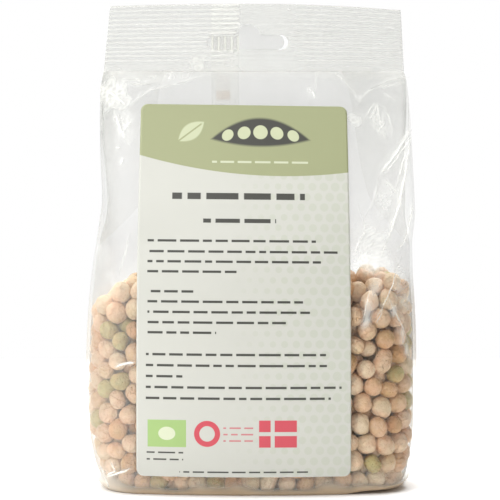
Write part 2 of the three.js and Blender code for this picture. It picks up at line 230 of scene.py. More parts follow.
def rim_quads(quads, behind):
    """Quads that join a grid's open edges to the same edges of its copy behind it."""
    starts = quads.ravel()
    ends = np.roll(quads, -1, 1).ravel()
    forward = starts * (behind + 1) + ends
    backward = ends * (behind + 1) + starts
    open_edge = ~np.isin(forward, backward)
    a, b = starts[open_edge], ends[open_edge]
    return np.stack((b, a, a + behind, b + behind), -1)


def sheet_quads(rows, columns):
    """Quads of a closed sheet: a grid, the same grid behind it, and the rim between them."""
    quads = grid_quads(rows, columns)
    behind = rows * columns
    ring = np.concatenate((
        np.arange(columns),
        columns - 1 + columns * np.arange(1, rows),
        rows * columns - 1 - np.arange(1, columns),
        columns * np.arange(rows - 2, 0, -1),
    ))
    after = np.roll(ring, -1)
    rim = np.stack((ring + behind, after + behind, after, ring), -1)
    return np.concatenate((quads, quads[:, ::-1] + behind, rim))


def sheet_mesh(name, near, far, attributes=None):
    """A closed sheet from two equal grids of points, near towards -Y, joined at the rim.
    An attribute has a number for each point of one grid, used twice, or of both."""
    points = np.concatenate((near.reshape(-1, 3), far.reshape(-1, 3)))
    both = {key: np.resize(value, len(points)) for key, value in (attributes or {}).items()}
    return make_mesh(name, points, sheet_quads(*near.shape[:2]), both)


# ---- Peas ------------------------------------------------------------------------------

PEA_CLEARANCE = 0.6 * MM
SIDE_CLEARANCE = 0.9 * MM
FOOT_CLEARANCE = 1.1 * MM
BASE_CLEARANCE = 0.3 * MM
PEA_BULGE = 1.17
PEA_CUTS = 4
DIMPLES = 6
START_LOW, START_HIGH = (-0.058, -0.022, 0.004), (0.058, 0.022, 0.135)
BASE_UNEVENNESS = 1.0 * MM
FOOT_CUT_HEIGHT = 20 * MM
FOOT_CUT_LEFT = -63 * MM
FOOT_CUT_SLOPE = 0.42
SETTLE_STEPS = 480
REACH = 9.4 * MM

# How high the heap may reach across the bag: it falls away beside the tucked-in sides.
HEAP_TOP = MM * np.array([
    (-66, 64), (-62, 69), (-57, 75), (-51, 80), (-45, 84), (-30, 87),
    (38, 88), (52, 86), (59, 81), (66, 74),
])


def wall_distance(points):
    """Signed distance of points to the bag's skin in their own height's plane, below zero
    inside, and the outward direction there: that of a rectangle with rounded corners."""
    left, right, front, back = sizes_at(points[:, 2])
    width = np.where(points[:, 0] > 0, right, left)
    depth = np.where(points[:, 1] > 0, back, front)
    radius, edge = CORNER_SHARE * depth, depth * (1 - CROWN_SHARE)
    flat = width - radius
    across, deep = np.abs(points[:, 0]), np.abs(points[:, 1])
    crown = edge + (depth - edge) * np.clip(1 - (across / flat) ** 2, 0.0, 1.0)
    over_x, over_y = across - flat, deep - (crown - radius)
    from_centre = np.hypot(over_x, over_y)
    in_corner = (over_x > 0) & (over_y > 0)
    distance = np.where(in_corner, from_centre, np.maximum(over_x, over_y)) - radius
    out_x = np.where(in_corner, over_x / np.maximum(from_centre, 1e-9), over_x >= over_y)
    out_y = np.where(in_corner, over_y / np.maximum(from_centre, 1e-9), over_x < over_y)
    return distance, out_x * np.sign(points[:, 0]), out_y * np.sign(points[:, 1])


def close_pairs(points, reach):
    """Every pair of points nearer to each other than reach."""
    squared = (points**2).sum(1)
    between = squared[:, None] + squared[None] - 2 * points @ points.T
    first, second = np.nonzero(between < reach * reach)
    once = first < second
    return first[once], second[once]


@lru_cache(maxsize=1)
def settled_heap(count, smallest, largest, seed):
    """Centres and radii of the peas: they start at random in the bag, sink step by step and
    push each other and the film apart where they overlap, until they lie at rest."""
    random = np.random.default_rng(seed)
    radii = random.uniform(smallest, largest, count) / 2
    points = random.uniform(START_LOW, START_HIGH, (count, 3))
    for step in range(SETTLE_STEPS):
        if step % 8 == 0:
            first, second = close_pairs(points, REACH)
        sinking = 0.3 * MM * (1 - step / SETTLE_STEPS) * (step < SETTLE_STEPS * 0.8)
        points[:, 2] -= sinking
        for _ in range(2):
            apart = points[second] - points[first]
            length = np.sqrt((apart**2).sum(1)) + 1e-9
            overlap = np.clip(radii[first] + radii[second] - length, 0.0, None)
            push = apart * (0.4 * overlap / length)[:, None]
            for axis in range(3):
                points[:, axis] += np.bincount(second, push[:, axis], count)
                points[:, axis] -= np.bincount(first, push[:, axis], count)
            highest = np.interp(points[:, 0], HEAP_TOP[:, 0], HEAP_TOP[:, 1]) - radii
            if step > SETTLE_STEPS / 2:
                points[:, 2] -= 0.5 * np.clip(points[:, 2] - highest, 0.0, None)
            lift = 0.5 + 0.5 * np.sin(points[:, 0] / (5.3 * MM) + 1.7 * np.sin(points[:, 1] / (6.1 * MM)))
            points[:, 2] = np.maximum(points[:, 2], radii + BASE_CLEARANCE + BASE_UNEVENNESS * lift)
            # The film's left foot is folded under, so no pea fills that corner.
            cut = FOOT_CUT_LEFT + FOOT_CUT_SLOPE * np.maximum(FOOT_CUT_HEIGHT - points[:, 2], 0.0)
            low = points[:, 2] < FOOT_CUT_HEIGHT
            points[:, 0] = np.where(low, np.maximum(points[:, 0], cut + radii), points[:, 0])
            distance, out_x, out_y = wall_distance(points)
            clearance = PEA_CLEARANCE + SIDE_CLEARANCE * out_x * out_x
            clearance += FOOT_CLEARANCE * smoothstep(12 * MM, 4 * MM, points[:, 2])
            outside = np.clip(distance + radii + clearance, 0.0, None)
            points[:, 0] -= out_x * outside
            points[:, 1] -= out_y * outside
    return points, radii


def cube_sphere(cuts):
    """Directions on a unit sphere and its quads, as a cube's faces cut and blown up round."""
    steps = np.tan(np.linspace(-1, 1, cuts + 1) * math.pi / 4)
    u, v = (grid.ravel() for grid in np.meshgrid(steps, steps, indexing="ij"))
    one = np.ones_like(u)
    sides = [(one, u, v), (-one, v, u), (v, one, u), (u, -one, v), (u, v, one), (v, u, -one)]
    points = np.concatenate([np.stack(side, -1) for side in sides])
    quads = grid_quads(cuts + 1, cuts + 1)[:, ::-1]
    quads = np.concatenate([quads + k * len(u) for k in range(6)])
    _, keep, merged = np.unique(points.round(6), axis=0, return_index=True, return_inverse=True)
    directions = points[keep] / np.linalg.norm(points[keep], axis=1, keepdims=True)
    quads = merged.ravel()[quads]
    a, b, c = (directions[quads[:, k]] for k in range(3))
    inward = (np.cross(b - a, c - b) * a).sum(1) < 0
    quads[inward] = quads[inward][:, ::-1]
    return directions, quads


def pea_points(centres, radii, random):
    """Points of many dried peas at once: spheres, each a little longer or shorter along one
    axis, which lies along the film where the pea is next to it, and pressed in by a few
    broad dimples. A dimple along d lowers the surface by depth times smoothstep(cos angle
    to d), so that its rim is soft."""
    directions, quads = cube_sphere(PEA_CUTS)
    count = len(centres)
    spin = random.normal(size=(count, DIMPLES, 3))
    distance, out_x, out_y = wall_distance(centres)
    outward = np.stack((out_x, out_y, 0 * out_x), 1)
    flat = smoothstep(-9 * MM, -6 * MM, distance)[:, None]
    spin[:, 0] -= outward * (spin[:, 0] * outward).sum(1, keepdims=True) * flat
    spin /= np.linalg.norm(spin, axis=2, keepdims=True)
    depth = 0.01 + 0.18 * random.uniform(0.0, 1.0, (count, DIMPLES)) ** 2
    toward = np.einsum("vk,pdk->pvd", directions, spin)
    dimples = (depth[:, None] * smoothstep(0.62, 1.0, toward)).sum(2)
    stretch = random.uniform(-0.16, 0.36, count)[:, None] * (toward[..., 0] ** 2 - 0.33)
    reach = radii[:, None] * (1.03 - dimples + stretch)
    points = centres[:, None] + directions[None] * reach[..., None]
    offsets = np.arange(count)[:, None, None] * len(directions)
    return points.reshape(-1, 3), (quads[None] + offsets).reshape(-1, 4), len(directions)


# ---- Film ------------------------------------------------------------------------------

FACE_COLUMNS = 296
BACK_COLUMNS = 56
CORNER_COLUMNS = 15
SIDE_COLUMNS = 15
FILM_ROWS = 212
# The grid is finer beside the label, where the front is folded: shares of the columns and
# the shares of the front that they cover, and the same for the rows and heights.
COLUMN_SPREAD = ((0.0, 0.29, 0.68, 1.0), (0.0, 0.23, 0.74, 1.0))
ROW_SPREAD = ((0.0, 0.2, 0.52, 1.0), (0.0, 48 * MM, 98 * MM, SEAL_LINE))
DEEPEST_SAG = 1.1 * MM
FILM_INSET = 0.3 * MM
FOOT_LIFT = 1.2 * MM
DRAPE_STEPS = 60
DRAPE_PULL = 0.012 * MM
BASE_RINGS = 5
BACK_FOLD_COUNT = 22
FRONT_FACE, BACK_FACE = 1, 2
FACE_OF = {False: FRONT_FACE, True: BACK_FACE}
# What steers the finish on the flat base, and along the row that closes the film at the seal.
FILM_END_MARKS = {"milk_and_painted_light": (0.08, 0.1), "haze_and_painted_shade": (0.0, 0.1), "gloss": (0.0, 0.0), "warm": (0.0, 0.0)}

# Folds and crinkles, in mm: half width, rise, whiteness, then the points (x, z) along each.
# The whiteness is partly the creased film's own milkiness and partly painted highlight, where the film would
# mirror the lamps.
FRONT_FOLDS = [
    # Gusset folds at the right shoulder, and the crumpled film between them.
    (0.4, 0.4, 0.30, [(32.2, 163.5), (37.3, 160.3), (41.1, 155.2), (42.4, 150.8)]),
    (0.6, 0.6, 0.34, [(63.4, 162.0), (55.1, 160.2), (47.9, 157.1), (43.8, 153.4), (42.4, 149.8)]),
    (0.4, 0.4, 0.40, [(62.0, 160.2), (56.5, 158.6), (51.0, 157.2)]),
    (0.35, 0.3, 0.45, [(52.0, 155.2), (57.0, 152.4)]),
    (0.3, 0.4, 0.40, [(45.1, 144.6), (47.0, 149.0), (49.4, 151.4)]),
    (0.3, 0.4, 0.40, [(46.6, 144.0), (49.0, 148.6), (49.8, 151.0)]),
    (0.3, 0.4, 0.45, [(48.6, 143.6), (50.0, 147.0), (50.2, 151.0)]),
    (0.3, 0.4, 0.45, [(50.0, 150.6), (50.4, 144.0), (52.0, 139.6), (54.0, 136.0)]),
    (0.25, 0.3, 0.40, [(50.4, 150.8), (53.2, 148.0), (55.0, 143.0), (55.2, 136.4)]),
    (0.25, 0.3, 0.35, [(46.4, 144.2), (50.0, 139.6), (53.6, 135.8)]),
    (0.25, 0.3, 0.35, [(51.6, 148.0), (52.6, 143.6), (51.4, 140.6)]),
    # Long slanting folds down the right side.
    (0.5, 0.8, 0.75, [(63.4, 141.2), (57.0, 131.5), (49.6, 121.6)]),
    (0.35, 0.4, 0.60, [(63.8, 138.6), (58.4, 131.0), (51.6, 122.0)]),
    (0.75, 0.9, 0.62,
     [(62.6, 138.0), (60.4, 126.0), (58.6, 117.3), (56.3, 107.6), (53.0, 99.1), (49.6, 89.6)]),
    (0.4, 0.5, 0.45, [(61.4, 136.0), (57.4, 121.0), (55.8, 116.0)]),
    (0.4, 0.5, 0.60, [(62.6, 112.0), (61.4, 105.0), (59.8, 97.6), (55.8, 91.8)]),
    (0.4, 0.4, 0.16, [(49.4, 121.0), (47.6, 112.0), (43.6, 105.6)]),
    (0.4, 0.4, 0.35, [(52.0, 120.0), (57.6, 114.6)]),
    (0.4, 0.5, 0.15, [(41.0, 111.0), (44.0, 101.0), (39.8, 92.0)]),
    # Over the heap at the right.
    (1.9, 0.2, 0.50, [(49.6, 90.0), (47.0, 79.0), (42.2, 62.0)]),
    (0.3, 0.2, 0.45, [(46.0, 80.0), (43.6, 72.0), (41.6, 64.0)]),
    (0.35, 0.3, 0.62, [(58.0, 91.0), (53.2, 77.9), (50.9, 72.7), (46.6, 66.2)]),
    (1.1, 0.3, 0.50, [(52.0, 76.4), (57.0, 64.1), (61.4, 50.6)]),
    (0.35, 0.3, 0.50, [(52.4, 74.6), (56.6, 66.0), (61.0, 56.6)]),
    (0.35, 0.2, 0.55, [(42.5, 65.2), (45.4, 67.8)]),
    (0.35, 0.2, 0.50, [(47.4, 65.2), (50.1, 70.4)]),
    # Top left shoulder, with the arc of the pressed gusset.
    (0.4, 0.6, 0.34,
     [(-48.6, 148.6), (-43.1, 154.6), (-38.0, 156.9), (-32.1, 158.1), (-25.0, 159.8), (-19.6, 163.0)]),
    (0.6, 0.6, 0.60, [(-51.0, 160.6), (-43.0, 160.4)]),
    (0.5, 0.5, 0.55, [(-48.7, 158.6), (-38.5, 158.9)]),
    (0.7, 0.6, 0.60, [(-60.6, 158.6), (-54.0, 154.0), (-49.0, 149.6)]),
    (0.4, 0.5, 0.45, [(-54.3, 149.8), (-50.8, 139.2), (-46.6, 133.6)]),
    (0.5, 0.4, 0.55, [(-48.6, 142.0), (-46.7, 143.8)]),
    (0.4, 0.3, 0.50, [(-52.8, 133.0), (-51.2, 132.9)]),
    (0.5, 0.3, 0.45, [(-50.8, 126.2), (-49.6, 128.9)]),
    # Faint pulls down to the heap at the left.
    (0.9, 0.5, 0.16, [(-60.0, 96.0), (-57.0, 88.0), (-53.4, 81.0)]),
    (0.9, 0.5, 0.14, [(-56.3, 97.0), (-53.0, 80.0)]),
    (0.8, 0.5, 0.14, [(-46.4, 99.0), (-50.3, 83.0)]),
    # Glints over the peas and the folded corner at the left foot.
    (0.8, 0.3, 0.95, [(-51.8, 48.4), (-48.6, 49.9), (-43.8, 50.4)]),
    (0.6, 0.4, 0.90, [(-55.6, 5.6), (-52.6, 7.4), (-45.4, 10.4)]),
    (0.45, 0.3, 0.80, [(-55.2, 6.6), (-51.6, 9.2)]),
    (0.7, 0.3, 0.55, [(-57.6, 10.0), (-55.4, 4.0), (-54.2, 0.6)]),
    (0.5, 0.3, 0.40, [(-50.9, 8.0), (-53.8, 13.0)]),
    # The small bright triangle beside the label's top corner, and the pull above it.
    (0.9, 0.4, 0.55, [(22.0, 156.4), (24.4, 155.6)]),
    (0.4, 0.4, 0.55, [(24.0, 156.6), (25.4, 152.8)]),
    (0.3, 0.3, 0.25, [(25.6, 164.0), (25.9, 159.0), (25.2, 156.0)]),
]

# Hazy or crumpled fields: middle (x, z), half sizes, turn in degrees, rise and whiteness.
# Their whiteness is partly the crumpled film's own haze and partly painted reflection of the lamps, as at the
# shoulders and over the heap at the right.
FRONT_FIELDS = [
    (-54.6, 154.4, 7.4, 6.6, -20, 0.3, 0.50),
    (-50.0, 143.0, 4.6, 9.0, 12, 0.3, 0.22),
    (-36.0, 160.6, 17.0, 2.6, 6, 0.2, 0.16),
    (41.4, 144.4, 4.0, 3.2, -20, 0.2, 0.30),
    (50.6, 144.0, 4.0, 7.2, 24, 0.3, 0.20),
    (52.4, 112.6, 5.2, 8.6, -18, 0.4, 0.22),
    (45.6, 98.0, 8.0, 7.6, 0, 0.3, 0.20),
    (46.2, 88.6, 9.6, 4.8, 4, 0.2, 0.55),
    (46.0, 94.0, 8.6, 10.6, 0, 0.2, 0.34),
    (58.4, 77.0, 4.0, 14.0, 10, 0.1, 0.30),
    (49.0, 76.0, 9.0, 9.0, 0, 0.0, 0.10),
]

HEADER_FOLDS = [
    (0.4, 0.15, 0.30, [(29.6, 188.8), (28.3, 165.4)]),
    (0.5, 0.10, 0.60, [(29.4, 188.6), (29.9, 187.6)]),
    (0.4, 0.15, 0.28, [(21.6, 180.0), (24.6, 170.0), (25.7, 164.2)]),
    (0.7, 0.15, 0.50, [(-3.4, 183.8), (-4.4, 181.0)]),
    (0.35, 0.10, 0.40, [(-4.4, 181.7), (-4.9, 171.8)]),
    (0.8, 0.20, 0.50, [(-5.0, 171.6), (-14.0, 172.2), (-20.3, 172.0), (-23.6, 168.2), (-22.6, 164.4)]),
    (0.6, 0.15, 0.40, [(-17.6, 170.6), (-20.6, 166.6), (-18.2, 164.2)]),
    (0.35, 0.10, 0.35, [(47.6, 181.0), (48.2, 173.4)]),
    (0.35, 0.10, 0.45, [(50.6, 170.4), (57.6, 171.4)]),
    (0.5, 0.10, 0.35, [(4.0, 188.6), (22.0, 188.2)]),
    (0.6, 0.10, 0.50, [(13.5, 188.5), (15.5, 188.4)]),
    (0.7, 0.15, 0.45, [(-13.5, 189.2), (-6.0, 188.2)]),
]
HEADER_FIELDS = [
    (-20.6, 167.6, 3.6, 5.0, 0, 0.05, 0.30),
]

RIBBON_SHARE = 0.72
WIDEST_RIBBON = 0.85
RIBBON_ROWS = 40
RIBBON_COLUMNS = 7


def fold_ribbons(name, folds):
    """Thin raised strips along the folds, in one mesh. Each is a smoothed line that wavers a
    little; it tapers to both ends and is whitest along its middle. It lies on the front panel.
    Its whiteness is partly painted highlight along the fold's crest."""
    along = np.linspace(0.0, 1.0, RIBBON_ROWS)
    across = np.linspace(-1.0, 1.0, RIBBON_COLUMNS)[None]
    shape = (RIBBON_ROWS, RIBBON_COLUMNS)
    parts, whites = [], []
    for half_width, _, whiteness, path in folds:
        if half_width > WIDEST_RIBBON:
            continue
        path = MM * np.array(path)
        before = np.concatenate(((0.0,), np.cumsum(np.hypot(*np.diff(path, axis=0).T))))
        spot = along * before[-1]
        line = np.stack([np.interp(spot, before, path[:, axis]) for axis in (0, 1)], 1)
        for _ in range(12):
            line[1:-1] = (line[:-2] + 2 * line[1:-1] + line[2:]) / 4
        step = np.gradient(line, axis=0)
        step /= np.hypot(*step.T)[:, None]
        waver = 0.12 * MM * np.sin(spot / (1.9 * MM) + path[0, 0] / MM)
        waver = waver + 0.1 * MM * np.sin(spot / (0.83 * MM))
        thick = RIBBON_SHARE * half_width * MM * (0.25 + 0.75 * np.sin(math.pi * along) ** 0.7)
        aside = waver[:, None] + thick[:, None] * across
        x, z = line[:, :1] - step[:, 1:] * aside, line[:, 1:] + step[:, :1] * aside
        y = -panel_depth(x, False, z) - 0.1 * MM
        comes = 0.68 + 0.2 * np.sin(spot / (2.4 * MM) + path[0, 1] / MM) + 0.12 * np.sin(spot / (0.9 * MM))
        ends = (np.sin(math.pi * along) ** 0.6 * comes)[:, None]
        crest = 1 - across**2
        parts.append((np.stack((x, y - 0.05 * MM * crest, z), -1), np.stack((x, y + 0.02 * MM, z), -1)))
        whites.append(np.tile((whiteness * crest * ends).ravel(), 2))
    points = np.stack([np.concatenate([side.reshape(-1, 3) for side in part]) for part in parts])
    offsets = np.arange(len(parts))[:, None, None] * points.shape[1]
    quads = (sheet_quads(*shape)[None] + offsets).reshape(-1, 4)
    return make_mesh(name, points.reshape(-1, 3), quads, {"milk_and_painted_light": np.concatenate(whites)})


def fold_fields(x, z, folds, fields):
    """How far the folds raise the film at (x, z), and how white they make it: partly the film's
    own milkiness and partly painted highlight and reflection of the lamps. Across a fold
    the height is a bell curve of the distance to its line of points, and it fades out at
    both ends; a broader, fainter bell is added to the whiteness, which comes and goes along
    the line. A field is a soft-edged ellipse."""
    rise, white = np.zeros_like(x), np.zeros_like(x)
    bent_x = x + 0.22 * MM * np.sin(z / (0.9 * MM) + 1.6 * np.sin(x / (1.7 * MM)))
    bent_z = z + 0.22 * MM * np.sin(x / (1.0 * MM) + 1.6 * np.sin(z / (2.1 * MM)))
    strength = 0.68 + 0.32 * np.sin(x / (1.3 * MM) + 2.0 * np.sin(z / (2.9 * MM)))
    for half_width, lift, whiteness, path in folds:
        path = MM * np.array(path)
        lengths = np.hypot(*np.diff(path, axis=0).T)
        before = np.concatenate(((0.0,), np.cumsum(lengths)))
        nearest, progress = np.full(x.shape, np.inf), np.zeros_like(x)
        for start, end, length, so_far in zip(path[:-1], path[1:], lengths, before):
            step = (end - start) / length
            along = np.clip((x - start[0]) * step[0] + (z - start[1]) * step[1], 0.0, length)
            away = np.hypot(bent_x - start[0] - along * step[0], bent_z - start[1] - along * step[1])
            closer = away < nearest
            nearest = np.where(closer, away, nearest)
            progress = np.where(closer, (so_far + along) / before[-1], progress)
        fade = smoothstep(-0.04, 0.16, progress) * (1 - smoothstep(0.84, 1.04, progress))
        profile = np.exp(-(nearest / (half_width * MM)) ** 2) * fade
        above_heap = smoothstep(76 * MM, 90 * MM, z)
        halo = 0.22 * np.exp(-(nearest / (3.2 * half_width * MM)) ** 2) * fade * above_heap
        rise += lift * MM * profile
        own = 1.0 if half_width > WIDEST_RIBBON else 0.45
        white = np.maximum(white, whiteness * (own * profile * strength + halo * (1 - profile)))
    for middle_x, middle_z, half_x, half_z, turn, lift, whiteness in fields:
        cosine, sine = math.cos(math.radians(turn)), math.sin(math.radians(turn))
        over, up = x / MM - middle_x, z / MM - middle_z
        reach = np.hypot((over * cosine + up * sine) / half_x, (up * cosine - over * sine) / half_z)
        ragged = np.sin(over * 0.9 + 1.3 * np.sin(up * 0.6)) + np.sin(up * 0.75 + 2.1 * np.sin(over * 0.45))
        profile = 1 - smoothstep(0.35, 1.25, reach + 0.13 * ragged)
        crests = crumple(over, up)
        rise += lift * MM * profile * crests
        white = np.maximum(white, whiteness * profile * (0.66 + 0.34 * crests))
    return rise, white


def crumple(over, up):
    """The crests of crushed film, from 0 to 1, at places in mm: high where a sum of three
    bent sine waves is near nought."""
    waves = (np.sin(1.7 * over + 0.9 * up + 1.7 * np.sin(0.8 * up + 0.4))
             + np.sin(2.3 * up - 1.1 * over + 1.9 * np.sin(0.7 * over))
             + np.sin(0.6 * over - 1.5 * up + 2.2 * np.sin(0.5 * over + 0.3 * up)))
    return np.clip(1 - np.abs(waves) * 0.6, 0.0, 1.0)


def chance_folds(random, count):
    """Folds for the sides that the picture doesn't show: short, steep, slightly bent lines."""
    folds = []
    for _ in range(count):
        x, z = random.uniform(-56, 56), random.uniform(92, 156)
        lean, length, bend = random.uniform(-0.9, 0.9), random.uniform(8, 30), random.uniform(-3, 3)
        middle = (x + lean * length / 2 + bend, z - length / 2)
        path = [(x, z), middle, (x + lean * length, z - length)]
        folds.append((random.uniform(0.4, 0.9), random.uniform(0.3, 0.8), random.uniform(0.15, 0.55), path))
    return folds


def skin_grid(z):
    """The bag's skin over rows z: points, the direction into the bag, and which face each
    column lies on. Each panel is its own formula in one share along it."""
    rows = z[:, None]
    blocks = []

    def face(back_side, share):
        along = (1 - 2 * share if back_side else 2 * share - 1)[None]
        width, _, radius, _ = quarter_at(along > 0, back_side, rows)
        x = along * (width - radius)
        sign = 1.0 if back_side else -1.0
        y = sign * panel_depth(x, back_side, rows + 0 * x)
        blocks.append((x, y, 0 * x, -sign + 0 * x, 0 * x + FACE_OF[back_side]))

    def corner(right_side, back_side, share):
        angle = share[None] * math.pi / 2
        width, _, radius, edge = quarter_at(right_side, back_side, rows)
        out_x = np.sin(angle) * (1.0 if right_side else -1.0)
        out_y = np.cos(angle) * (1.0 if back_side else -1.0)
        x = (width - radius) * (1.0 if right_side else -1.0) + radius * out_x
        y = (edge - radius) * (1.0 if back_side else -1.0) + radius * out_y
        blocks.append((x, y, -out_x + 0 * x, -out_y + 0 * x, 0 * x + FACE_OF[back_side]))

    def side(right_side, share):
        along = (2 * share - 1 if right_side else 1 - 2 * share)[None]
        width, _, radius, edge = quarter_at(right_side, along > 0, rows)
        inward = tuck_at(rows) * (1 - np.abs(along))
        sign = 1.0 if right_side else -1.0
        y = along * (edge - radius)
        blocks.append((sign * (width - inward), y, -sign + 0 * y, 0 * y, 0 * y))

    t_front = np.interp(np.arange(FACE_COLUMNS) / FACE_COLUMNS, *COLUMN_SPREAD)
    t_back = np.arange(BACK_COLUMNS) / BACK_COLUMNS
    t_corner = np.arange(CORNER_COLUMNS) / CORNER_COLUMNS
    t_side = np.arange(SIDE_COLUMNS) / SIDE_COLUMNS
    face(False, t_front)
    corner(True, False, t_corner)
    side(True, t_side)
    corner(True, True, 1 - t_corner)
    face(True, t_back)
    corner(False, True, t_corner)
    side(False, t_side)
    corner(False, False, 1 - t_corner)
    x, y, in_x, in_y, panel = (np.concatenate([block[k] for block in blocks], 1) for k in range(5))
    return np.stack((x, y, rows + 0 * x), -1), np.stack((in_x, in_y, 0 * in_x), -1), panel


def room_to_peas(points, inward, centres, radii):
    """How far the film can move inwards at each point before it meets a pea: the nearest
    crossing of the inward ray with a sphere, at most the deepest sag."""
    room = np.full(len(points), DEEPEST_SAG)
    distance, _, _ = wall_distance(centres)
    near = distance > -(radii + 2 * DEEPEST_SAG)
    centres, radii = centres[near], radii[near]
    for start in range(0, len(points), 4000):
        part = slice(start, start + 4000)
        low, high = points[part, 2].min(), points[part, 2].max()
        level = (centres[:, 2] > low - radii) & (centres[:, 2] < high + radii)
        if not level.any():
            continue
        to_centre = centres[None, level] - points[part][:, None]
        ahead = (to_centre * inward[part][:, None]).sum(2)
        aside = (to_centre**2).sum(2) - ahead**2
        under = (PEA_BULGE * radii[None, level]) ** 2 - aside
        meets = np.where(under > 0, ahead - np.sqrt(np.maximum(under, 0.0)), DEEPEST_SAG)
        room[part] = np.minimum(room[part], meets.min(1))
    return np.clip(room, -DEEPEST_SAG / 2, DEEPEST_SAG)


def draped(room, held):
    """Film stretched over the peas: each point takes the mean of its four neighbours and is
    pulled in a little, again and again, but never past what it rests on."""
    sag = np.zeros_like(room)
    for _ in range(DRAPE_STEPS):
        up, down = np.roll(sag, 1, 0), np.roll(sag, -1, 0)
        up[0], down[-1] = sag[0], sag[-1]
        mean = (up + down + np.roll(sag, 1, 1) + np.roll(sag, -1, 1)) / 4
        sag = np.minimum(mean + DRAPE_PULL, room) * np.where(room < 0, 1.0, held)
    return sag


def base_rings(edge):
    """The flat base: rings that shrink from the skin's lowest row to its middle."""
    shares = np.linspace(0.0, 1.0, BASE_RINGS + 1)[:-1]
    middle = edge.mean(0)
    return middle + (edge - middle) * shares[:, None, None]


def slow_waves(x, z):
    """A gentle unevenness from 0 to 1: three crossing sine waves, about 30 to
    40 mm long."""
    waves = (np.sin(x / (8.1 * MM) + z / (11.3 * MM)) + np.sin(x / (5.3 * MM) - z / (9.7 * MM) + 1.3)
             + np.sin(z / (6.1 * MM) + x / (15.0 * MM) + 0.4))
    return 0.5 + waves / 6


# ---- Shader writing --------------------------------------------------------------------


class Value:
    """A shader socket that Python expressions can be written on; each one adds its nodes."""

    def __init__(self, tree, socket):
        self.tree, self.socket = tree, socket

    def _math(self, operation, *operands):
        return self.tree.node("ShaderNodeMath", {"operation": operation}, dict(enumerate(operands)))

    def __add__(self, other):
        return self._math("ADD", self, other)

    def __sub__(self, other):
        return self._math("SUBTRACT", self, other)

    def __rsub__(self, other):
        return self._math("SUBTRACT", other, self)

    def __mul__(self, other):
        return self._math("MULTIPLY", self, other)

    def __truediv__(self, other):
        return self._math("DIVIDE", self, other)

    def __pow__(self, other):
        return self._math("POWER", self, other)

    __radd__ = __add__
    __rmul__ = __mul__

    def __abs__(self):
        return self._math("ABSOLUTE", self)

    def least(self, other):
        return self._math("MINIMUM", self, other)

    def most(self, other):
        return self._math("MAXIMUM", self, other)

    def fraction(self):
        return self._math("FRACT", self)

    def floor(self):
        return self._math("FLOOR", self)

    def root(self):
        return self._math("SQRT", self)

    def clamped(self):
        return self.most(0.0).least(1.0)


class Finish:
    """The shader of a new material or of the world, under construction."""

    def __init__(self, owner):
        owner.use_nodes = True
        self.owner = owner
        self.nodes, self.links = owner.node_tree.nodes, owner.node_tree.links
        self.nodes.clear()

    def node(self, kind, settings=None, inputs=None, output=0):
        """Adds a node: its settings first, then its sockets' values or links."""
        node = self.nodes.new(kind)
        for key, value in (settings or {}).items():
            setattr(node, key, value)
        for key, value in (inputs or {}).items():
            if isinstance(value, Value):
                self.links.new(value.socket, node.inputs[key])
            else:
                node.inputs[key].default_value = value
        return None if output is None else Value(self, node.outputs[output])

    def object_point(self):
        return self.node("ShaderNodeTexCoord", output="Object")

    def attribute(self, name):
        return self.node("ShaderNodeAttribute", {"attribute_name": name}, output="Fac")

    def noise(self, point, scale, detail=3.0, roughness=0.5):
        inputs = {"Vector": point, "Scale": scale, "Detail": detail, "Roughness": roughness}
        return self.node("ShaderNodeTexNoise", inputs=inputs, output="Fac")

    def blend(self, share, first, second):
        """Colour between first and second; share is 0 for the first and 1 for the second."""
        inputs = {0: share, 6: first, 7: second}
        return self.node("ShaderNodeMix", {"data_type": "RGBA"}, inputs, output=2)

    def bump(self, height, strength, distance):
        inputs = {"Height": height, "Strength": strength, "Distance": distance}
        return self.node("ShaderNodeBump", inputs=inputs)

    def principled(self, **inputs):
        named = {key.replace("_", " "): value for key, value in inputs.items()}
        return self.node("ShaderNodeBsdfPrincipled", inputs=named)

    def surface(self, shader):
        """The finished material, with shader on its surface."""
        self.node("ShaderNodeOutputMaterial", inputs={"Surface": shader}, output=None)
        return self.owner


def linear(red, green, blue):
    """A colour given as 0 to 255 on screen, as the light that it stands for."""
    channels = np.array((red, green, blue)) / 255.0
    light = np.where(channels <= 0.04045, channels / 12.92, ((channels + 0.055) / 1.055) ** 2.4)
    return (*light.tolist(), 1.0)


# ---- Settings --------------------------------------------------------------------------


def size_property(name, text, default):
    return bpy.props.FloatProperty(name=name, description=text, default=default, unit="LENGTH")


def colour_property(name, text, default):
    return bpy.props.FloatVectorProperty(
        name=name, description=text, default=default, size=4, min=0, max=1, subtype="COLOR")


class PeaSettings(bpy.types.PropertyGroup):
    count: bpy.props.IntProperty(name="Peas", description="How many peas the bag holds", default=1530)
    seed: bpy.props.IntProperty(name="Seed", description="Start of the random draws", default=11)
    smallest: size_property("Smallest", "Diameter of the smallest pea", 6.6 * MM)
    largest: size_property("Largest", "Diameter of the largest pea", 8.6 * MM)
    cream: colour_property("Cream", "Most of the peas", linear(236, 213, 181))
    peach: colour_property("Peach", "The pinker peas", linear(232, 195, 159))
    tan: colour_property("Tan", "The browner peas", linear(218, 171, 122))
    green: colour_property("Green", "The peas that kept some green", linear(200, 187, 128))
    scar: colour_property("Scar", "The creases in their skin", linear(196, 142, 92))


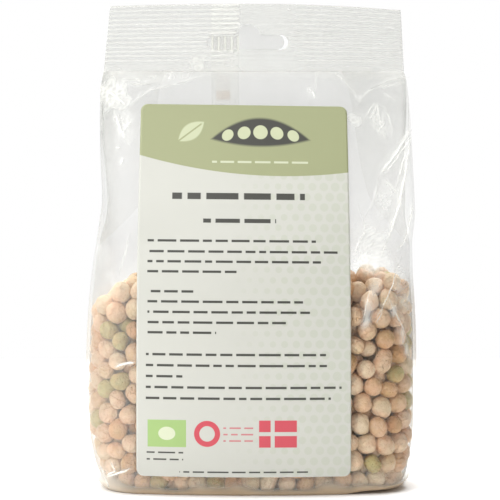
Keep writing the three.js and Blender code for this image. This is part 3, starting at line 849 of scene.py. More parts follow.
class FilmSettings(bpy.types.PropertyGroup):
    tint: colour_property("Tint", "Light that passes one layer of film", (0.985, 0.985, 0.983, 1.0))
    seam_tint: colour_property("Seam tint", "Light that passes the back seam", (0.99, 0.99, 0.985, 1.0))
    # The dull grey also serves as painted shade on the film, and the milky white as painted light, highlight
    # and glow.
    haze_and_painted_shade: colour_property("Haze", "The dull part of slack film", linear(168, 169, 163))
    milk_and_painted_light: colour_property("Milk", "The film's seams and folds", linear(246, 246, 240))
    mark: colour_property("Mark", "The tan mark on the back seam", linear(240, 196, 150))


class LabelSettings(bpy.types.PropertyGroup):
    paper: colour_property("Paper", "The label's bare paper", linear(189, 189, 181))
    green: colour_property("Field", "The field across the label's head", linear(148, 152, 115))
    ink: colour_property("Ink", "Dark print", linear(60, 60, 54))
    leaf: colour_property("Leaf", "The small green panel", linear(152, 180, 112))
    red: colour_property("Red", "The small roundel and the flag", linear(192, 70, 82))


class StageSettings(bpy.types.PropertyGroup):
    distance: size_property("Distance", "From the camera to the bag's front", 500 * MM)
    eye: size_property("Eye height", "The camera's height above the table", 93 * MM)
    view_width: size_property("View width", "What the picture takes in at the bag's front", 187.5 * MM)


GROUPS = {
    "pea_bag_peas": PeaSettings,
    "pea_bag_film": FilmSettings,
    "pea_bag_label": LabelSettings,
    "pea_bag_stage": StageSettings,
}


# ---- Materials -------------------------------------------------------------------------


FILM_MIRROR = 0.35


def pea_finish(name, colour, darker, scar):
    """Matt dried skin: mottled between two colours, finely wrinkled, and on some peas with
    thin sunken creases of a browner colour, where a broad noise is at its middle value."""
    finish = Finish(bpy.data.materials.new(name))
    point = finish.object_point()
    mottle = finish.noise(point, 270.0, 4.0, 0.6)
    tone = finish.attribute("tone")
    share = ((mottle - 0.5) * 2.6 + (tone - 0.5) * 1.1 + 0.42).clamped()
    base = finish.blend(share, colour, darker)
    patch = (finish.noise(point, 125.0, 2.0, 0.5) - 0.5) * 4.5
    base = finish.blend(patch.clamped() * 0.3, base, linear(204, 186, 120))
    base = finish.blend((patch * -1.0).clamped() * 0.3, base, linear(236, 166, 116))
    creased = ((tone - 0.62) / 0.15).clamped()
    crease = ((0.024 - abs(finish.noise(point, 150.0, 2.0, 0.5) - 0.52)) / 0.02).clamped() * creased
    base = finish.blend(crease * 0.4, base, scar)
    wrinkle = finish.noise(point, 560.0, 4.0, 0.62)
    blush = ((wrinkle - 0.52) * 5.0).clamped()
    base = finish.blend(blush * 0.35, base, scar)
    ridge = (0.5 - abs(finish.noise(point, 240.0, 2.0, 0.5) - 0.5) * 7.0).clamped() * tone
    normal = finish.bump(wrinkle * 0.8 + mottle * 1.2 + ridge * 0.4 - crease * 0.2, 1.0, 1.0 * MM)
    shader = finish.principled(Base_Color=base, Roughness=0.5, Normal=normal)
    return finish.surface(shader)


def film_finish(name, tint, haze_and_painted_shade_colour, milk_and_painted_light_colour, crinkled=0.2, lit=0.1):
    """Clear glossy film. Light goes through all but a share of it: that share is mirrored
    where the film is seen at a slant, dull where it is hazy, and scattered white where it is
    milky. It is milky in seams and folds, hazier towards its outline, and warm where peas show
    through several layers of it. Its whiteness in the folds is partly painted highlight, and the
    white and warm shares give off a little light of their own: painted light, standing in for
    light that the film scatters from behind."""
    finish = Finish(bpy.data.materials.new(name))
    point = finish.object_point()
    loose = finish.attribute("gloss")
    slant = finish.node("ShaderNodeFresnel", inputs={"IOR": 1.5}) * loose * FILM_MIRROR
    veil = finish.node("ShaderNodeLayerWeight", inputs={"Blend": 0.5}, output="Facing")
    cloud = finish.noise(point, 70.0, 3.0, 0.55)
    milk_and_painted_light = finish.attribute("milk_and_painted_light") * (0.7 + cloud * 0.6)
    haze_and_painted_shade = finish.attribute("haze_and_painted_shade") * (0.75 + cloud * 0.5) + veil ** 3.0 * loose * 0.75
    scattered = milk_and_painted_light + haze_and_painted_shade + 0.001
    share = (scattered + slant).clamped()
    white = (milk_and_painted_light / scattered).clamped()
    colour = finish.blend(white, haze_and_painted_shade_colour, milk_and_painted_light_colour)
    warm = finish.attribute("warm")
    colour = finish.blend(warm, colour, linear(184, 162, 134))
    # Painted light: the white and warm shares give off light of their own, standing in for light scattered
    # through the film from behind.
    painted_glow = finish.blend(white, (0.0, 0.0, 0.0, 1.0), milk_and_painted_light_colour)
    painted_glow = finish.blend(warm, painted_glow, (0.7, 0.54, 0.38, 1.0))
    crinkle = finish.noise(point, 210.0, 3.0, 0.6)
    normal = finish.bump(crinkle, crinkled, 0.4 * MM)
    clear = finish.node("ShaderNodeBsdfTransparent", inputs={"Color": tint})
    metallic = (slant / (scattered + slant)).clamped()
    skin = finish.principled(
        Base_Color=colour, Metallic=metallic, Roughness=0.2, Normal=normal, Emission_Color=painted_glow,
        Emission_Strength=lit)
    return finish.surface(finish.node("ShaderNodeMixShader", inputs={0: share, 1: clear, 2: skin}))


def film_from(settings, name, tint=None, **more):
    """The film's finish in the colours of its settings."""
    tint = settings.tint if tint is None else tint
    return film_finish(name, tuple(tint), tuple(settings.haze_and_painted_shade), tuple(settings.milk_and_painted_light), **more)


def inside(value, middle, half, soft=0.12):
    """1 where value is within half of middle, and 0 outside, with a soft edge."""
    return ((half - abs(value - middle)) / soft + 0.5).clamped()


# The label's print, in millimetres across and up from the middle of its foot.
DOT_PITCH_U, DOT_PITCH_V = 4.4, 4.0
EMBLEM_V = 131.5
PANEL_V, PANEL_HALF_HEIGHT = 16.4, 5.1
PALE_PRINT = linear(184, 189, 156)
INKS = {
    "dark": linear(62, 62, 57), "pale": linear(190, 194, 168), "red": linear(190, 118, 120),
}
# Rows of bars: height up the label, left and right ends, thickness and ink.
LABEL_BARS = [
    (119.5, -12.3, 24.9, 0.8, "pale"), (106.0, -27.5, 23.5, 2.5, "dark"),
    (96.5, -15.5, 12.4, 1.6, "dark"), (88.8, -36.7, 27.5, 0.9, "dark"),
    (84.7, -36.7, 35.7, 0.9, "dark"), (80.9, -36.6, 29.3, 0.9, "dark"),
    (77.1, -36.6, -1.4, 0.9, "dark"), (69.6, -36.5, -18.3, 0.9, "dark"),
    (65.8, -36.4, 22.4, 0.9, "dark"), (61.9, -36.4, 25.0, 0.9, "dark"),
    (58.0, -36.3, 16.7, 0.9, "dark"), (54.2, -36.3, -10.3, 0.9, "dark"),
    (46.0, -36.9, 31.0, 0.9, "dark"), (41.9, -36.9, 31.7, 0.9, "dark"),
    (37.8, -36.9, -23.0, 0.9, "dark"), (33.7, -36.9, 36.9, 0.9, "dark"),
    (29.6, -36.9, 32.8, 0.9, "dark"), (9.2, -36.6, -22.7, 0.6, "dark"),
    (6.6, -36.6, -22.7, 0.6, "dark"), (1.9, -24.2, 24.2, 0.6, "dark"),
    (18.6, -7.6, 3.6, 0.6, "red"), (16.2, -7.6, 3.6, 0.6, "red"), (13.8, -7.6, 3.6, 0.6, "red"),
]


def label_ground(finish, u, v, settings):
    """Paper with pale dots over its right half, smaller towards the left, and the green field
    at its head, whose lower edge is a shallow parabola."""
    lattice_u = u / DOT_PITCH_U + (v / DOT_PITCH_V).floor() * 0.5
    dot_u = (lattice_u.fraction() - 0.5) * DOT_PITCH_U
    dot_v = ((v / DOT_PITCH_V).fraction() - 0.5) * DOT_PITCH_V
    dot = ((1.1 + u * 0.022 - (dot_u * dot_u + dot_v * dot_v).root()) / 0.3).clamped()
    colour = finish.blend(
        dot * ((u + 6.0) / 20.0).clamped() * 0.38, tuple(settings.paper), linear(172, 178, 157))
    edge = (u - 14.5) * (u - 14.5) * 0.0026 + 114.0
    return finish.blend(((v - edge) / 0.15).clamped(), colour, tuple(settings.green))


def label_emblem(finish, colour, u, v, settings):
    """A dark pod with five pale peas, and a pale leaf with a vein beside it."""
    pod_u, pod_v = u - 6.5, v - EMBLEM_V + (u - 6.5) * (u - 6.5) * 0.008
    pod = ((1.0 - (pod_u / 20.0) * (pod_u / 20.0) - abs(pod_v) / 6.2) * 6.0).clamped()
    colour = finish.blend(pod, colour, tuple(settings.ink))
    for k in range(-2, 3):
        from_u = pod_u - 6.4 * k
        pea = ((2.9 - 0.28 * abs(k) - (from_u * from_u + pod_v * pod_v).root()) / 0.2).clamped()
        colour = finish.blend(pea, colour, PALE_PRINT)
    lean = math.radians(38)
    leaf_u, leaf_v = u + 20.6, v - EMBLEM_V
    along = leaf_u * math.cos(lean) + leaf_v * math.sin(lean)
    aside = leaf_v * math.cos(lean) - leaf_u * math.sin(lean)
    leaf = ((1.0 - (along / 6.6) * (along / 6.6) - abs(aside) / 3.4) * 6.0).clamped()
    vein = ((abs(aside) - 0.25) / 0.12).clamped().most((along - 4.6).clamped())
    return finish.blend(leaf * vein, colour, PALE_PRINT)


def label_bars(finish, colour, u, v):
    """The rows of bars, each broken where a chance division in one dimension is near its edge."""
    for kind, ink in INKS.items():
        cover = None
        for height, start, end, thick, bar_kind in LABEL_BARS:
            if bar_kind != kind:
                continue
            breaks = finish.node(
                "ShaderNodeTexVoronoi",
                {"voronoi_dimensions": "1D", "feature": "DISTANCE_TO_EDGE"},
                {"W": u / (5.0 + 2.2 * thick) + height * 3.7, "Scale": 1.0}, output="Distance")
            whole = ((breaks - 0.085) / 0.03).clamped()
            bar = inside(v, height, thick / 2) * inside(u, (start + end) / 2, (end - start) / 2) * whole
            cover = bar if cover is None else cover.most(bar)
        colour = finish.blend(cover, colour, ink)
    return colour


def label_panels(finish, colour, u, v, settings):
    """Small panels along the foot: a green one with an oval, a ring, and a red flag with a
    pale cross."""
    level = inside(v, PANEL_V, PANEL_HALF_HEIGHT)
    up = v - PANEL_V
    colour = finish.blend(inside(u, -28.9, 7.3) * level, colour, tuple(settings.leaf))
    seed_u, ring_u = u + 28.9, u + 13.7
    seed = ((2.6 - (seed_u * seed_u * 0.6 + up * up).root()) / 0.2).clamped()
    colour = finish.blend(seed, colour, linear(200, 206, 178))
    from_middle = (ring_u * ring_u + up * up).root()
    colour = finish.blend(inside(from_middle, 3.9, 1.0), colour, tuple(settings.red))
    flag = inside(u, 12.9, 7.1) * level
    colour = finish.blend(flag, colour, tuple(settings.red))
    cross = inside(u, 10.9, 0.75).most(inside(v, PANEL_V, 0.75)) * flag
    return finish.blend(cross, colour, tuple(settings.paper))


def label_finish(settings):
    """Smooth paper with the label's print on its front and a bare back."""
    finish = Finish(bpy.data.materials.new("label_print"))
    place = finish.node("ShaderNodeUVMap", {"uv_map": "print"}, output="UV")
    axes = finish.node("ShaderNodeSeparateXYZ", inputs={0: place})
    u = (Value(finish, axes.socket.node.outputs["X"]) - 0.5) * (LABEL_WIDTH / MM)
    v = Value(finish, axes.socket.node.outputs["Y"]) * (LABEL_HEIGHT / MM)
    colour = label_ground(finish, u, v, settings)
    colour = label_emblem(finish, colour, u, v, settings)
    colour = label_bars(finish, colour, u, v)
    colour = label_panels(finish, colour, u, v, settings)
    # The bare back is paler than the printed side's paper: painted light, standing in for light coming
    # through the paper.
    colour = finish.blend(finish.attribute("printed"), linear(232, 231, 222), colour)
    grain = finish.noise(finish.object_point(), 1400.0, 3.0, 0.6)
    normal = finish.bump(grain, 0.12, 0.1 * MM)
    return finish.surface(finish.principled(Base_Color=colour, Roughness=0.5, Normal=normal))


def floor_finish():
    finish = Finish(bpy.data.materials.new("pale_table"))
    point = finish.object_point()
    share = finish.noise(point, 3.0, 2.0, 0.5)
    base = finish.blend(share, (0.93, 0.93, 0.925, 1), (0.96, 0.96, 0.955, 1))
    return finish.surface(finish.principled(Base_Color=base, Roughness=0.8))


def dress(obj, material, node):
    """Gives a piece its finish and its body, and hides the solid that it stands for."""
    obj.data.materials.append(material)
    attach(obj, "root")
    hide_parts(node)
    return obj


# ---- Operators -------------------------------------------------------------------------


class PEABAG_OT_peas(bpy.types.Operator):
    """Fill the bag with dried peas, one mesh for each colour of pea"""
    bl_idname = "pea_bag.peas"
    bl_label = "Peas"

    def execute(self, context):
        settings = context.scene.pea_bag_peas
        centres, radii = settled_heap(
            settings.count, settings.smallest, settings.largest, settings.seed)
        random = np.random.default_rng(settings.seed + 1)
        kinds = [
            ("peas_cream", settings.cream, settings.peach, 0.54),
            ("peas_peach", settings.peach, settings.tan, 0.26),
            ("peas_tan", settings.tan, linear(204, 152, 102), 0.08),
            ("peas_green", settings.green, linear(182, 166, 102), 0.12),
        ]
        draw = random.choice(len(kinds), len(centres), p=[kind[3] for kind in kinds])
        tones = random.uniform(0.0, 1.0, len(centres))
        for k, (name, colour, darker, _) in enumerate(kinds):
            chosen = draw == k
            points, quads, per_pea = pea_points(centres[chosen], radii[chosen], random)
            obj = make_mesh(name, points, quads, {"tone": np.repeat(tones[chosen], per_pea)})
            finish = pea_finish(name, tuple(colour), tuple(darker), tuple(settings.scar))
            dress(obj, finish, "bag")
        return {"FINISHED"}


def film_form(settings):
    """The film's points: the bag's skin, drawn in over the peas, waved where it is slack above
    them, raised along its folds, and lifted a little at the right of its foot. Then, for each
    point: its height before that lift, its panel, the heap's height there, and how white the
    folds make it, which is partly painted highlight."""
    centres, radii = settled_heap(
        settings.count, settings.smallest, settings.largest, settings.seed)
    z = np.interp(np.linspace(0.0, 1.0, FILM_ROWS), *ROW_SPREAD)
    points, inward, panel = skin_grid(z)
    x, height = points[..., 0], points[..., 2]
    heap = np.interp(x, HEAP_TOP[:, 0], HEAP_TOP[:, 1])
    room = room_to_peas(points.reshape(-1, 3), inward.reshape(-1, 3), centres, radii)
    held = smoothstep(0.0, 2.5 * MM, height) * (1 - smoothstep(0, 9 * MM, height - heap))
    held = held * (1 - 0.95 * smoothstep(50 * MM, 60 * MM, np.abs(x)))
    inwards = draped(room.reshape(panel.shape), held)

    on_front, on_back = panel == FRONT_FACE, panel == BACK_FACE
    rise, white = fold_fields(x, height, FRONT_FOLDS, FRONT_FIELDS)
    back_folds = chance_folds(np.random.default_rng(settings.seed + 2), BACK_FOLD_COUNT)
    back_rise, back_white = fold_fields(x, height, back_folds, [])
    loose = smoothstep(94 * MM, 110 * MM, height) * (1 - smoothstep(146 * MM, 160 * MM, height))
    inwards += loose * 1.5 * MM * slow_waves(x, height) * (panel > 0)
    free = smoothstep(0.0, 4 * MM, SEAL_LINE - height) * smoothstep(0.0, 3 * MM, height)
    inwards -= free * np.where(on_front, np.minimum(rise, 0.45 * MM), 0) * 0.9
    inwards -= free * np.where(on_back, np.minimum(back_rise, 0.6 * MM), 0)
    inset = FILM_INSET * np.minimum(np.abs(points[..., 1]).max(1, keepdims=True) / (6 * MM), 1.0)
    points = points + inward * (inwards + inset)[..., None]

    at_right = smoothstep(34 * MM, 46 * MM, points[..., 0])
    lifted = FOOT_LIFT * at_right * (1 - smoothstep(0.0, 6 * MM, height))
    points[..., 2] += lifted * smoothstep(5 * MM, -10 * MM, points[..., 1])
    whiter = np.maximum(np.where(on_front, white, 0), np.where(on_back, 0.5 * back_white, 0))
    return points, height, panel, heap, whiter


def film_marks(points, height, panel, heap, white):
    """The numbers from 0 to 1 that steer the film's finish at each point. The hazy share is dull
    and the milky share is white, and both grow where the film is folded, slack or in several
    layers; the hazy share is also painted shade towards the right, and the milky share painted
    light and highlight. Gloss says how well it mirrors, and warm where peas show through
    several layers."""
    across = points[..., 0]
    on_face = panel > 0
    # 1 where the film lies on the peas, 0 above the heap.
    tight = 1 - smoothstep(-4 * MM, 10 * MM, height - heap)
    forward = smoothstep(4 * MM, -6 * MM, points[..., 1])
    left_rim = forward * smoothstep(-53 * MM, -64 * MM, across)
    right_rim = forward * smoothstep(58.5 * MM, 64 * MM, across)

    # Less dull grey to the left: painted light, the film lighter on the side of the light.
    leftward = smoothstep(-28 * MM, -56 * MM, across)
    haze_and_painted_shade = 0.115 * (1 - 0.45 * leftward) + 0.05 * smoothstep(124 * MM, 150 * MM, height)
    haze_and_painted_shade = np.where(on_face, 0.01 + (1 - tight) * haze_and_painted_shade, 0.01)
    haze_and_painted_shade += tight * (0.16 * left_rim + 0.14 * right_rim)
    haze_and_painted_shade += (1 - tight) * (0.12 * smoothstep(-50 * MM, -60 * MM, across) + 0.05 * right_rim)
    # A little more at the right of the heap, just over the heap, and at the upper right; at the right this is
    # painted shade, the film greyer away from the light.
    at_right = smoothstep(40 * MM, 56 * MM, across)
    haze_and_painted_shade += 0.03 * on_face * at_right * smoothstep(96 * MM, 60 * MM, height)
    haze_and_painted_shade += 0.03 * on_face * (1 - tight) * smoothstep(114 * MM, 94 * MM, height)
    at_right = smoothstep(24 * MM, 44 * MM, across)
    haze_and_painted_shade += 0.04 * on_face * at_right * smoothstep(110 * MM, 126 * MM, height)

    milk_and_painted_light = np.maximum(0.02, white)
    # Painted light: whiter just under the seal, over the shade along the seal line; and low on the front,
    # partly the film's own haze and partly painted light over the shade below the label.
    milk_and_painted_light += 0.10 * smoothstep(159 * MM, 164 * MM, height)
    milk_and_painted_light += 0.08 * on_face * smoothstep(13 * MM, 6 * MM, height)
    over_left = 0.11 * smoothstep(-26 * MM, -50 * MM, across) * (1 - 0.7 * left_rim)
    milk_and_painted_light += tight * (0.02 * right_rim + over_left)

    # The film's foot lies in several layers, through which the peas show as a tan strip.
    uneven = 1.0 + 0.3 * np.sin(across / (7 * MM)) + 0.15 * np.sin(across / (2.6 * MM))
    foot = 1 - smoothstep(0.8 * MM, 4.6 * MM, height * uneven)
    pale = smoothstep(-40 * MM, -54 * MM, across)
    haze_and_painted_shade += 0.75 * foot * (1 - 0.4 * pale)
    milk_and_painted_light += 0.2 * foot * pale
    warm = np.maximum(foot * (1 - 0.4 * pale), tight * (0.5 * right_rim + 0.3 * left_rim))
    beside = smoothstep(48 * MM, 56 * MM, np.abs(across)) * (1 - tight)
    gloss = np.where(on_face, 1 - 0.9 * beside, 0.0)
    return {"milk_and_painted_light": milk_and_painted_light, "haze_and_painted_shade": haze_and_painted_shade, "gloss": gloss, "warm": warm}


class PEABAG_OT_film(bpy.types.Operator):
    """Stretch the clear film over the peas and up to the seal"""
    bl_idname = "pea_bag.film"
    bl_label = "Film"

    def execute(self, context):
        points, height, panel, heap, white = film_form(context.scene.pea_bag_peas)
        attributes = film_marks(points, height, panel, heap, white)
        rows, columns = panel.shape
        for key, (low, high) in FILM_END_MARKS.items():
            attributes[key] = np.concatenate(
                (np.full((BASE_RINGS, columns), low), attributes[key], np.full((1, columns), high)))
        closing = points[-1:] * (1.0, 0.0, 1.0) + (0.0, 0.0, 0.02 * MM)
        points = np.concatenate((base_rings(points[0]), points, closing))
        quads = grid_quads(rows + BASE_RINGS + 1, columns, closed=True)
        level = np.repeat(np.arange(rows + BASE_RINGS), columns)
        smooth = (level >= BASE_RINGS) & (level < BASE_RINGS + rows - 1)
        obj = make_mesh("film_body", points.reshape(-1, 3), quads, attributes, smooth)
        weld(obj)
        film = context.scene.pea_bag_film
        dress(obj, film_from(film, "clear_film"), "bag")
        obj = fold_ribbons("film_folds", FRONT_FOLDS)
        dress(obj, film_from(film, "fold_film", crinkled=0.05), "bag")
        return {"FINISHED"}


def slot_edges(z):
    """Where the hang slot starts and ends across each row z: a bar with round ends, with a
    round hump over its middle, narrowing to nothing above it."""
    above = z - SLOT_BOTTOM
    bar_radius, hump_radius = SLOT_BAR_HEIGHT / 2, SLOT_HUMP_WIDTH / 2
    bar = SLOT_WIDTH / 2 - bar_radius + np.sqrt(
        np.maximum(0.0, bar_radius**2 - (above - bar_radius) ** 2))
    from_hump = above - (SLOT_HUMP_HEIGHT - hump_radius)
    hump = np.sqrt(np.maximum(0.0, hump_radius**2 - np.maximum(from_hump, 0.0) ** 2))
    half = np.where(above <= SLOT_BAR_HEIGHT, bar, np.maximum(hump, 0.4 * MM))
    return SLOT_X - half, SLOT_X + half


def header_rows():
    """Heights of the header's rows: evenly spaced, about eight to a rib, with rows added at
    the slot's edges."""
    rows = np.linspace(SEAL_LINE, BAG_HEIGHT, HEADER_ROWS)
    slot = SLOT_BOTTOM + np.array((0.0, SLOT_BAR_HEIGHT, SLOT_BAR_HEIGHT + 0.05 * MM, SLOT_HUMP_HEIGHT))
    return np.unique(np.concatenate((rows, slot)))


def rib_wave(z):
    """The pressed ribs' height at z, from -1 to 1."""
    return np.cos(2 * math.pi * (z - RIB_FOOT) / RIB_PITCH) * smoothstep(0.0, RIB_PITCH, z - RIB_FOOT)


class PEABAG_OT_header(bpy.types.Operator):
    """Press the ribbed header with its hang slot"""
    bl_idname = "pea_bag.header"
    bl_label = "Header"

    def execute(self, context):
        z = header_rows()
        share_side = np.linspace(0, 1, HEADER_SIDE_COLUMNS + 1)
        share_middle = np.linspace(0, 1, SLOT_COLUMNS + 1)
        up = (z - SEAL_LINE) / (BAG_HEIGHT - SEAL_LINE)
        left, right, _, _ = sizes_at(np.array(SEAL_LINE))
        left = -(left + (HEADER_TOP_LEFT - left) * up)
        right = right + (HEADER_TOP_RIGHT - right) * up
        slot_left, slot_right = slot_edges(z)
        x = np.concatenate((
            left[:, None] + (slot_left - left)[:, None] * share_side,
            slot_left[:, None] + (slot_right - slot_left)[:, None] * share_middle[1:-1],
            slot_right[:, None] + (right - slot_right)[:, None] * share_side,
        ), 1)
        # The top edge falls away to both sides.
        drop = np.where(x < 0, HEADER_DROP_LEFT, HEADER_DROP_RIGHT) * (x / HEADER_TOP_RIGHT) ** 2
        height = z[:, None] - drop * up[:, None]
        flat_zone = smoothstep(-14 * MM, -6 * MM, x) * (1 - smoothstep(14 * MM, 26 * MM, x))
        faint = 1 - 0.8 * flat_zone - 0.45 * smoothstep(24 * MM, 34 * MM, x)
        over_fin = smoothstep(FIN_WIDTH / 2 + 0.5 * MM, FIN_WIDTH / 2 - 0.5 * MM, np.abs(x - FIN_X))
        above_slot = smoothstep(0, 1 * MM, height - SLOT_BOTTOM - SLOT_BAR_HEIGHT)
        faint = faint + (1.4 - faint) * over_fin * above_slot
        rise, white = fold_fields(x, height, HEADER_FOLDS, HEADER_FIELDS)
        wave = rib_wave(z)[:, None] * faint
        y = RIB_RISE * wave - np.minimum(rise, RIB_RISE)
        bow = 0.35 * MM * np.sin(x / (11 * MM)) * np.sin(math.pi * up)[:, None]
        bow = bow * smoothstep(0, 1, up)[:, None]
        near = np.stack((x, y + bow - HEADER_HALF_THICKNESS, height), -1)
        far = np.stack((x, y + bow + HEADER_HALF_THICKNESS, height), -1)
        rows, columns = x.shape
        quads = grid_quads(rows, columns)
        row_of, column_of = quads[:, 0] // columns, quads[:, 0] % columns
        in_rows = (z[row_of] >= SLOT_BOTTOM - 1e-7) & (z[row_of] < SLOT_BOTTOM + SLOT_HUMP_HEIGHT - 1e-7)
        from_slot = column_of - HEADER_SIDE_COLUMNS
        hole = in_rows & (from_slot >= 0) & (from_slot < SLOT_COLUMNS)
        quads = quads[~hole]
        points = np.concatenate((near.reshape(-1, 3), far.reshape(-1, 3)))
        rim = rim_quads(quads, rows * columns)
        both = np.concatenate((quads, quads[:, ::-1] + rows * columns, rim))
        stripes = np.cos(2 * math.pi * (x - FIN_X) / STRIPE_PITCH) * over_fin * (1 - above_slot)
        stripes = stripes * smoothstep(SLOT_BOTTOM - 1 * MM, SLOT_BOTTOM, height)
        ribs = 0.5 + 0.5 * wave
        # The ribs' crests are whiter: partly the sealed film's own milkiness and partly painted shading of
        # their relief. Over the back seam the header is painted lighter, standing in for the light that its
        # layers keep from the seam, and just above the seal line it is painted lighter over the shade there.
        milk_and_painted_light = np.maximum(0.22 * ribs * (1 + 0.25 * over_fin * above_slot) + 0.04 * over_fin, white)
        milk_and_painted_light += 0.12 * np.clip(stripes, 0, 1)
        milk_and_painted_light += 0.05 * (1 - smoothstep(0, 3.2 * MM, height - SEAL_LINE))
        haze_and_painted_shade = 0.21 + 0.03 * smoothstep(10 * MM, 40 * MM, x)
        haze_and_painted_shade *= smoothstep(-0.15 * MM, 0.2 * MM, height - SEAL_LINE)
        milk_and_painted_light *= smoothstep(-0.15 * MM, 0.2 * MM, height - SEAL_LINE)
        gloss = np.where(height < SEAL_LINE + 0.3 * MM, 0.0, 0.3)
        both_sides = {"milk_and_painted_light": milk_and_painted_light, "haze_and_painted_shade": haze_and_painted_shade, "gloss": gloss}
        attributes = {key: np.tile(value.ravel(), 2) for key, value in both_sides.items()}
        obj = make_mesh("film_header", points, both, attributes)
        loose_free(obj)
        dress(obj, film_from(context.scene.pea_bag_film, "header_film", crinkled=0.0), "bag")
        return {"FINISHED"}


TAB_GAP = 0.08 * MM
TAB_SHORT = 1.6 * MM
TAB_LEAN = 0.05


class PEABAG_OT_tab(bpy.types.Operator):
    """Leave the slot's punched tab in it, hinged at its foot and leaning back"""
    bl_idname = "pea_bag.tab"
    bl_label = "Slot tab"

    def execute(self, context):
        z = SLOT_BOTTOM + np.linspace(0.0, SLOT_HUMP_HEIGHT - 2 * TAB_GAP, 34)
        start, end = slot_edges(z)
        end = np.where(z < SLOT_BOTTOM + SLOT_BAR_HEIGHT, end - TAB_SHORT, end - TAB_GAP)
        start = start + TAB_GAP
        x = start[:, None] + (end - start)[:, None] * np.linspace(0, 1, 60)
        above = (z - SLOT_BOTTOM)[:, None] + 0 * x
        y = above * TAB_LEAN + 0.1 * MM * np.sin(x / (2.4 * MM)) * smoothstep(0, 4 * MM, above)
        near = np.stack((x, y - 0.12 * MM, z[:, None] + 0 * x), -1)
        far = np.stack((x, y + 0.12 * MM, z[:, None] + 0 * x), -1)
        attributes = {"milk_and_painted_light": 0.05 + 0 * x, "haze_and_painted_shade": 0.15 + 0 * x, "gloss": 1 + 0 * x}
        obj = sheet_mesh("film_slot_tab", near, far, attributes)
        dress(obj, film_from(context.scene.pea_bag_film, "tab_film", crinkled=0.0), "bag")
        return {"FINISHED"}


MARK_LEFT, MARK_RIGHT = -14.5 * MM, -7.7 * MM
MARK_FOOT, MARK_WAIST, MARK_TOP = 152.7 * MM, 156.3 * MM, 163.4 * MM


class PEABAG_OT_seam(bpy.types.Operator):
    """Lay the folded back seam over the back of the bag"""
    bl_idname = "pea_bag.seam"
    bl_label = "Back seam"

    def execute(self, context):
        top = BAG_HEIGHT - 0.4 * MM
        z = np.linspace(FIN_FOOT, top, 700)[:, None]
        across = np.linspace(-0.5, 0.5, 41)[None] * FIN_WIDTH
        x = FIN_X + across + 0 * z
        z = z + 0 * x
        back = np.where(z < SEAL_LINE, panel_depth(x, True, z), 0.0)
        pressed = smoothstep(SLOT_BOTTOM + SLOT_BAR_HEIGHT - 1 * MM, SLOT_BOTTOM + SLOT_BAR_HEIGHT, z)
        free = smoothstep(SLOT_BOTTOM - 1 * MM, SLOT_BOTTOM, z) * (1 - pressed)
        ribs = rib_wave(z)
        stripes = np.cos(2 * math.pi * across / STRIPE_PITCH) + 0 * z
        relief = np.where(z > SLOT_BOTTOM, ribs * pressed + stripes * free, 0.35 * stripes)
        floor = np.maximum(back, FIN_OFF_HEADER)
        near = np.stack((x, floor + 0.06 * MM, z), -1)
        far = np.stack((x, floor + FIN_OUTER + (0.1 - 0.07 * free) * MM * relief, z), -1)
        edge = smoothstep(0.44, 0.5, np.abs(across) / FIN_WIDTH) + 0 * z
        milk_and_painted_light = 0.02 + 0.03 * edge + smoothstep(SEAL_LINE, SLOT_BOTTOM, z) * 0.05 * relief
        bright = free * np.clip(stripes, 0, 1) ** 2
        # In the slot the seam is painted lighter, and this seam film gives off more light of its own than the
        # other film: painted light, standing in for the light that the header's layers keep from it.
        milk_and_painted_light += 0.10 * free + 0.5 * bright
        haze_and_painted_shade = 0.015 + 0.07 * (free - bright)
        attributes = {"milk_and_painted_light": np.clip(milk_and_painted_light, 0.01, 1.0), "haze_and_painted_shade": haze_and_painted_shade, "gloss": 0 * x}
        obj = sheet_mesh("film_seam", near, far, attributes)
        film = context.scene.pea_bag_film
        dress(obj, film_from(film, "seam_film", film.seam_tint, crinkled=0.0, lit=0.38), "bag")

        # The tan mark on the seam, strong at its foot and faint above. It gives off a little light of its
        # own: painted light on its unlit side.
        z = np.linspace(MARK_FOOT, MARK_TOP, 60)[:, None]
        x = np.linspace(MARK_LEFT, MARK_RIGHT, 30)[None] + 0 * z
        z = z + 0 * x
        outer = np.maximum(panel_depth(x, True, z), FIN_OFF_HEADER) + FIN_OUTER
        near = np.stack((x, outer + 0.12 * MM, z), -1)
        far = np.stack((x, outer + 0.18 * MM, z), -1)
        inset = np.minimum(np.minimum(x - MARK_LEFT, MARK_RIGHT - x), np.minimum(z - MARK_FOOT, MARK_TOP - z))
        low = smoothstep(MARK_WAIST + 1 * MM, MARK_WAIST, z)
        strength = (0.03 + 0.11 * low) * smoothstep(0, 1.2 * MM, inset)
        attributes = {"milk_and_painted_light": strength, "haze_and_painted_shade": 0 * x, "gloss": 0 * x}
        obj = sheet_mesh("film_seam_mark", near, far, attributes)
        finish = film_finish("seam_mark", (1.0, 1.0, 1.0, 1.0), tuple(film.haze_and_painted_shade), tuple(film.mark), lit=0.4)
        dress(obj, finish, "bag")
        return {"FINISHED"}


